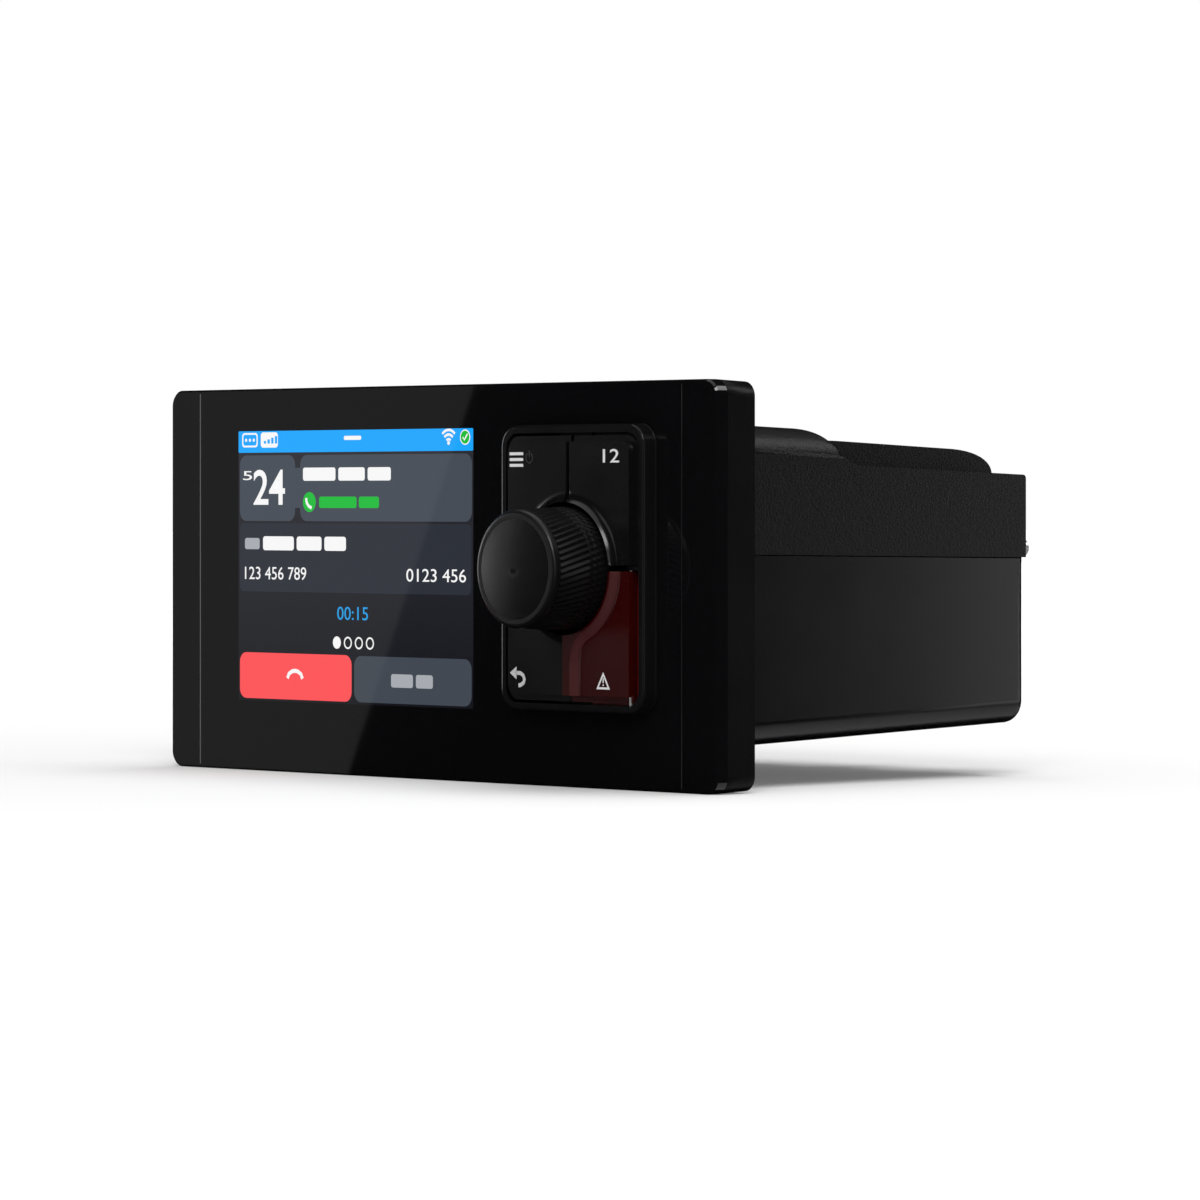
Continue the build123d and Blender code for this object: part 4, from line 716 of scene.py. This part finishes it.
def lamp(name, place, target, width, height, power):
    """Rectangular lamp that points at a target."""
    data = bpy.data.lights.new(name, "AREA")
    data.shape = "RECTANGLE"
    data.size = width
    data.size_y = height
    data.energy = power
    light = bpy.data.objects.new(name, data)
    light.location = place
    light.rotation_euler = (Vector(target) - Vector(place)).to_track_quat("-Z", "Y").to_euler()
    bpy.context.scene.collection.objects.link(light)
    return light


def place_lamps():
    top = lamp("top_light", (0.1, 0.25, 1.3), (0, 0.05, 0), 1.2, 1.0, 16)
    top.visible_glossy = False
    lamp("front_light", (0.85, -0.75, 0.95), (0.05, 0, 0), 0.5, 0.6, 9)


# ------------------------------------------------------------------ cards that only gloss sees
CARD_STEP = 15  # degrees that one flat card of a wall covers, or nearly so
SCREENS = 1.9  # distance of the dark screens
BEHIND = 1.85  # distance of the light cards behind the radio, just inside the screens
GLARE_Y, GLARE_FOOT, GLARE_TOP = -0.9945, -0.5, 0.4
SIDE_X, SIDE_NEAR, SIDE_FAR, SIDE_FOOT, SIDE_TOP = 0.36, 0.43, 0.9, -0.12, 0.1


def reflected_card(name, corners, level=0.0):
    """Card of even brightness that only mirrors see."""
    material, _, strength = matt(name, BLACK, 1.0)
    strength.default_value = level
    card = sheet(name, corners, material)
    card.visible_camera = False
    card.visible_diffuse = False
    card.visible_transmission = False
    card.visible_shadow = False
    card.visible_volume_scatter = False


def level_card(name, x0, y0, x1, y1, z):
    """Dark card that lies level."""
    reflected_card(name, [(x0, y0, z), (x1, y0, z), (x1, y1, z), (x0, y1, z)])


def around(azimuth, distance, height):
    """Point round the radio: azimuth in degrees from the front toward the left."""
    turn = math.radians(azimuth)
    return (-math.sin(turn) * distance, -math.cos(turn) * distance, height)


def wall(name, start, end, distance, low, high, level=0.0):
    """Upright flat cards along an arc, from start to end in degrees."""
    count = max(1, round((end - start) / CARD_STEP))
    for index in range(count):
        first = start + (end - start) * index / count
        last = start + (end - start) * (index + 1) / count
        corners = [around(first, distance, low), around(last, distance, low),
                   around(last, distance, high), around(first, distance, high)]
        reflected_card(f"{name}_{index}", corners, level)


def place_screens():
    """Dark screens all round and below, which keep the gloss black. The white world shows over
    them, and the low card under the one behind."""
    wall("screen_front", -100, 110, SCREENS, -3.0, 2.4)
    wall("screen_left", 110, 180, SCREENS, -3.0, 2.2)
    wall("screen_back", 180, 222, SCREENS, -0.6, 2.2)
    wall("screen_side", 222, 260, SCREENS, -3.0, 2.2)
    level_card("front_flag", -2, -2, 2, 0, -1.0)
    level_card("near_flag", -0.3, -0.3, 0.5, 0.22, -0.35)


def place_glare():
    """Card with a slanting edge, which the left of the plate mirrors."""
    reflected_card("glare_card", [(-1.4009, GLARE_Y, GLARE_FOOT), (-0.9524, GLARE_Y, GLARE_TOP),
                                  (-2.2, GLARE_Y, GLARE_TOP), (-2.2, GLARE_Y, GLARE_FOOT)], 0.22)


def place_light_cards():
    """Light for the knob's face, the upright edges, the cover and the rear end of the body."""
    wall("knob_card", 60, 86, 1.7, -0.12, 0.4, 3.6)
    wall("edge_card", 8, 20, 1.2, -0.3, 0.8, 1.2)
    wall("right_card", -66, -52, 1.35, -0.12, 0.5, 1.6)
    wall("back_card", 200, 221, BEHIND, 0.58, 1.9, 3.3)
    wall("low_card", 180, 222, BEHIND, -2.4, -0.5, 0.55)
    reflected_card("side_card", [(SIDE_X, SIDE_NEAR, SIDE_FOOT), (SIDE_X, SIDE_FAR, SIDE_FOOT),
                                 (SIDE_X, SIDE_FAR, SIDE_TOP), (SIDE_X, SIDE_NEAR, SIDE_TOP)],
                   1.25)


# ------------------------------------------------------------------ the scene
dress_nodes()
soften_edges()
draw_grounds()
draw_status_bar()
draw_cards()
draw_caller()
draw_page_dots()
draw_buttons()
draw_cap_edges()
draw_menu_legend()
draw_channel_legend()
draw_back_legend()
draw_distress_legend()
place_camera()
lay_floor()
light_world()
place_lamps()
place_screens()
place_glare()
place_light_cards()
bpy.context.scene.view_settings.view_transform = "Standard"
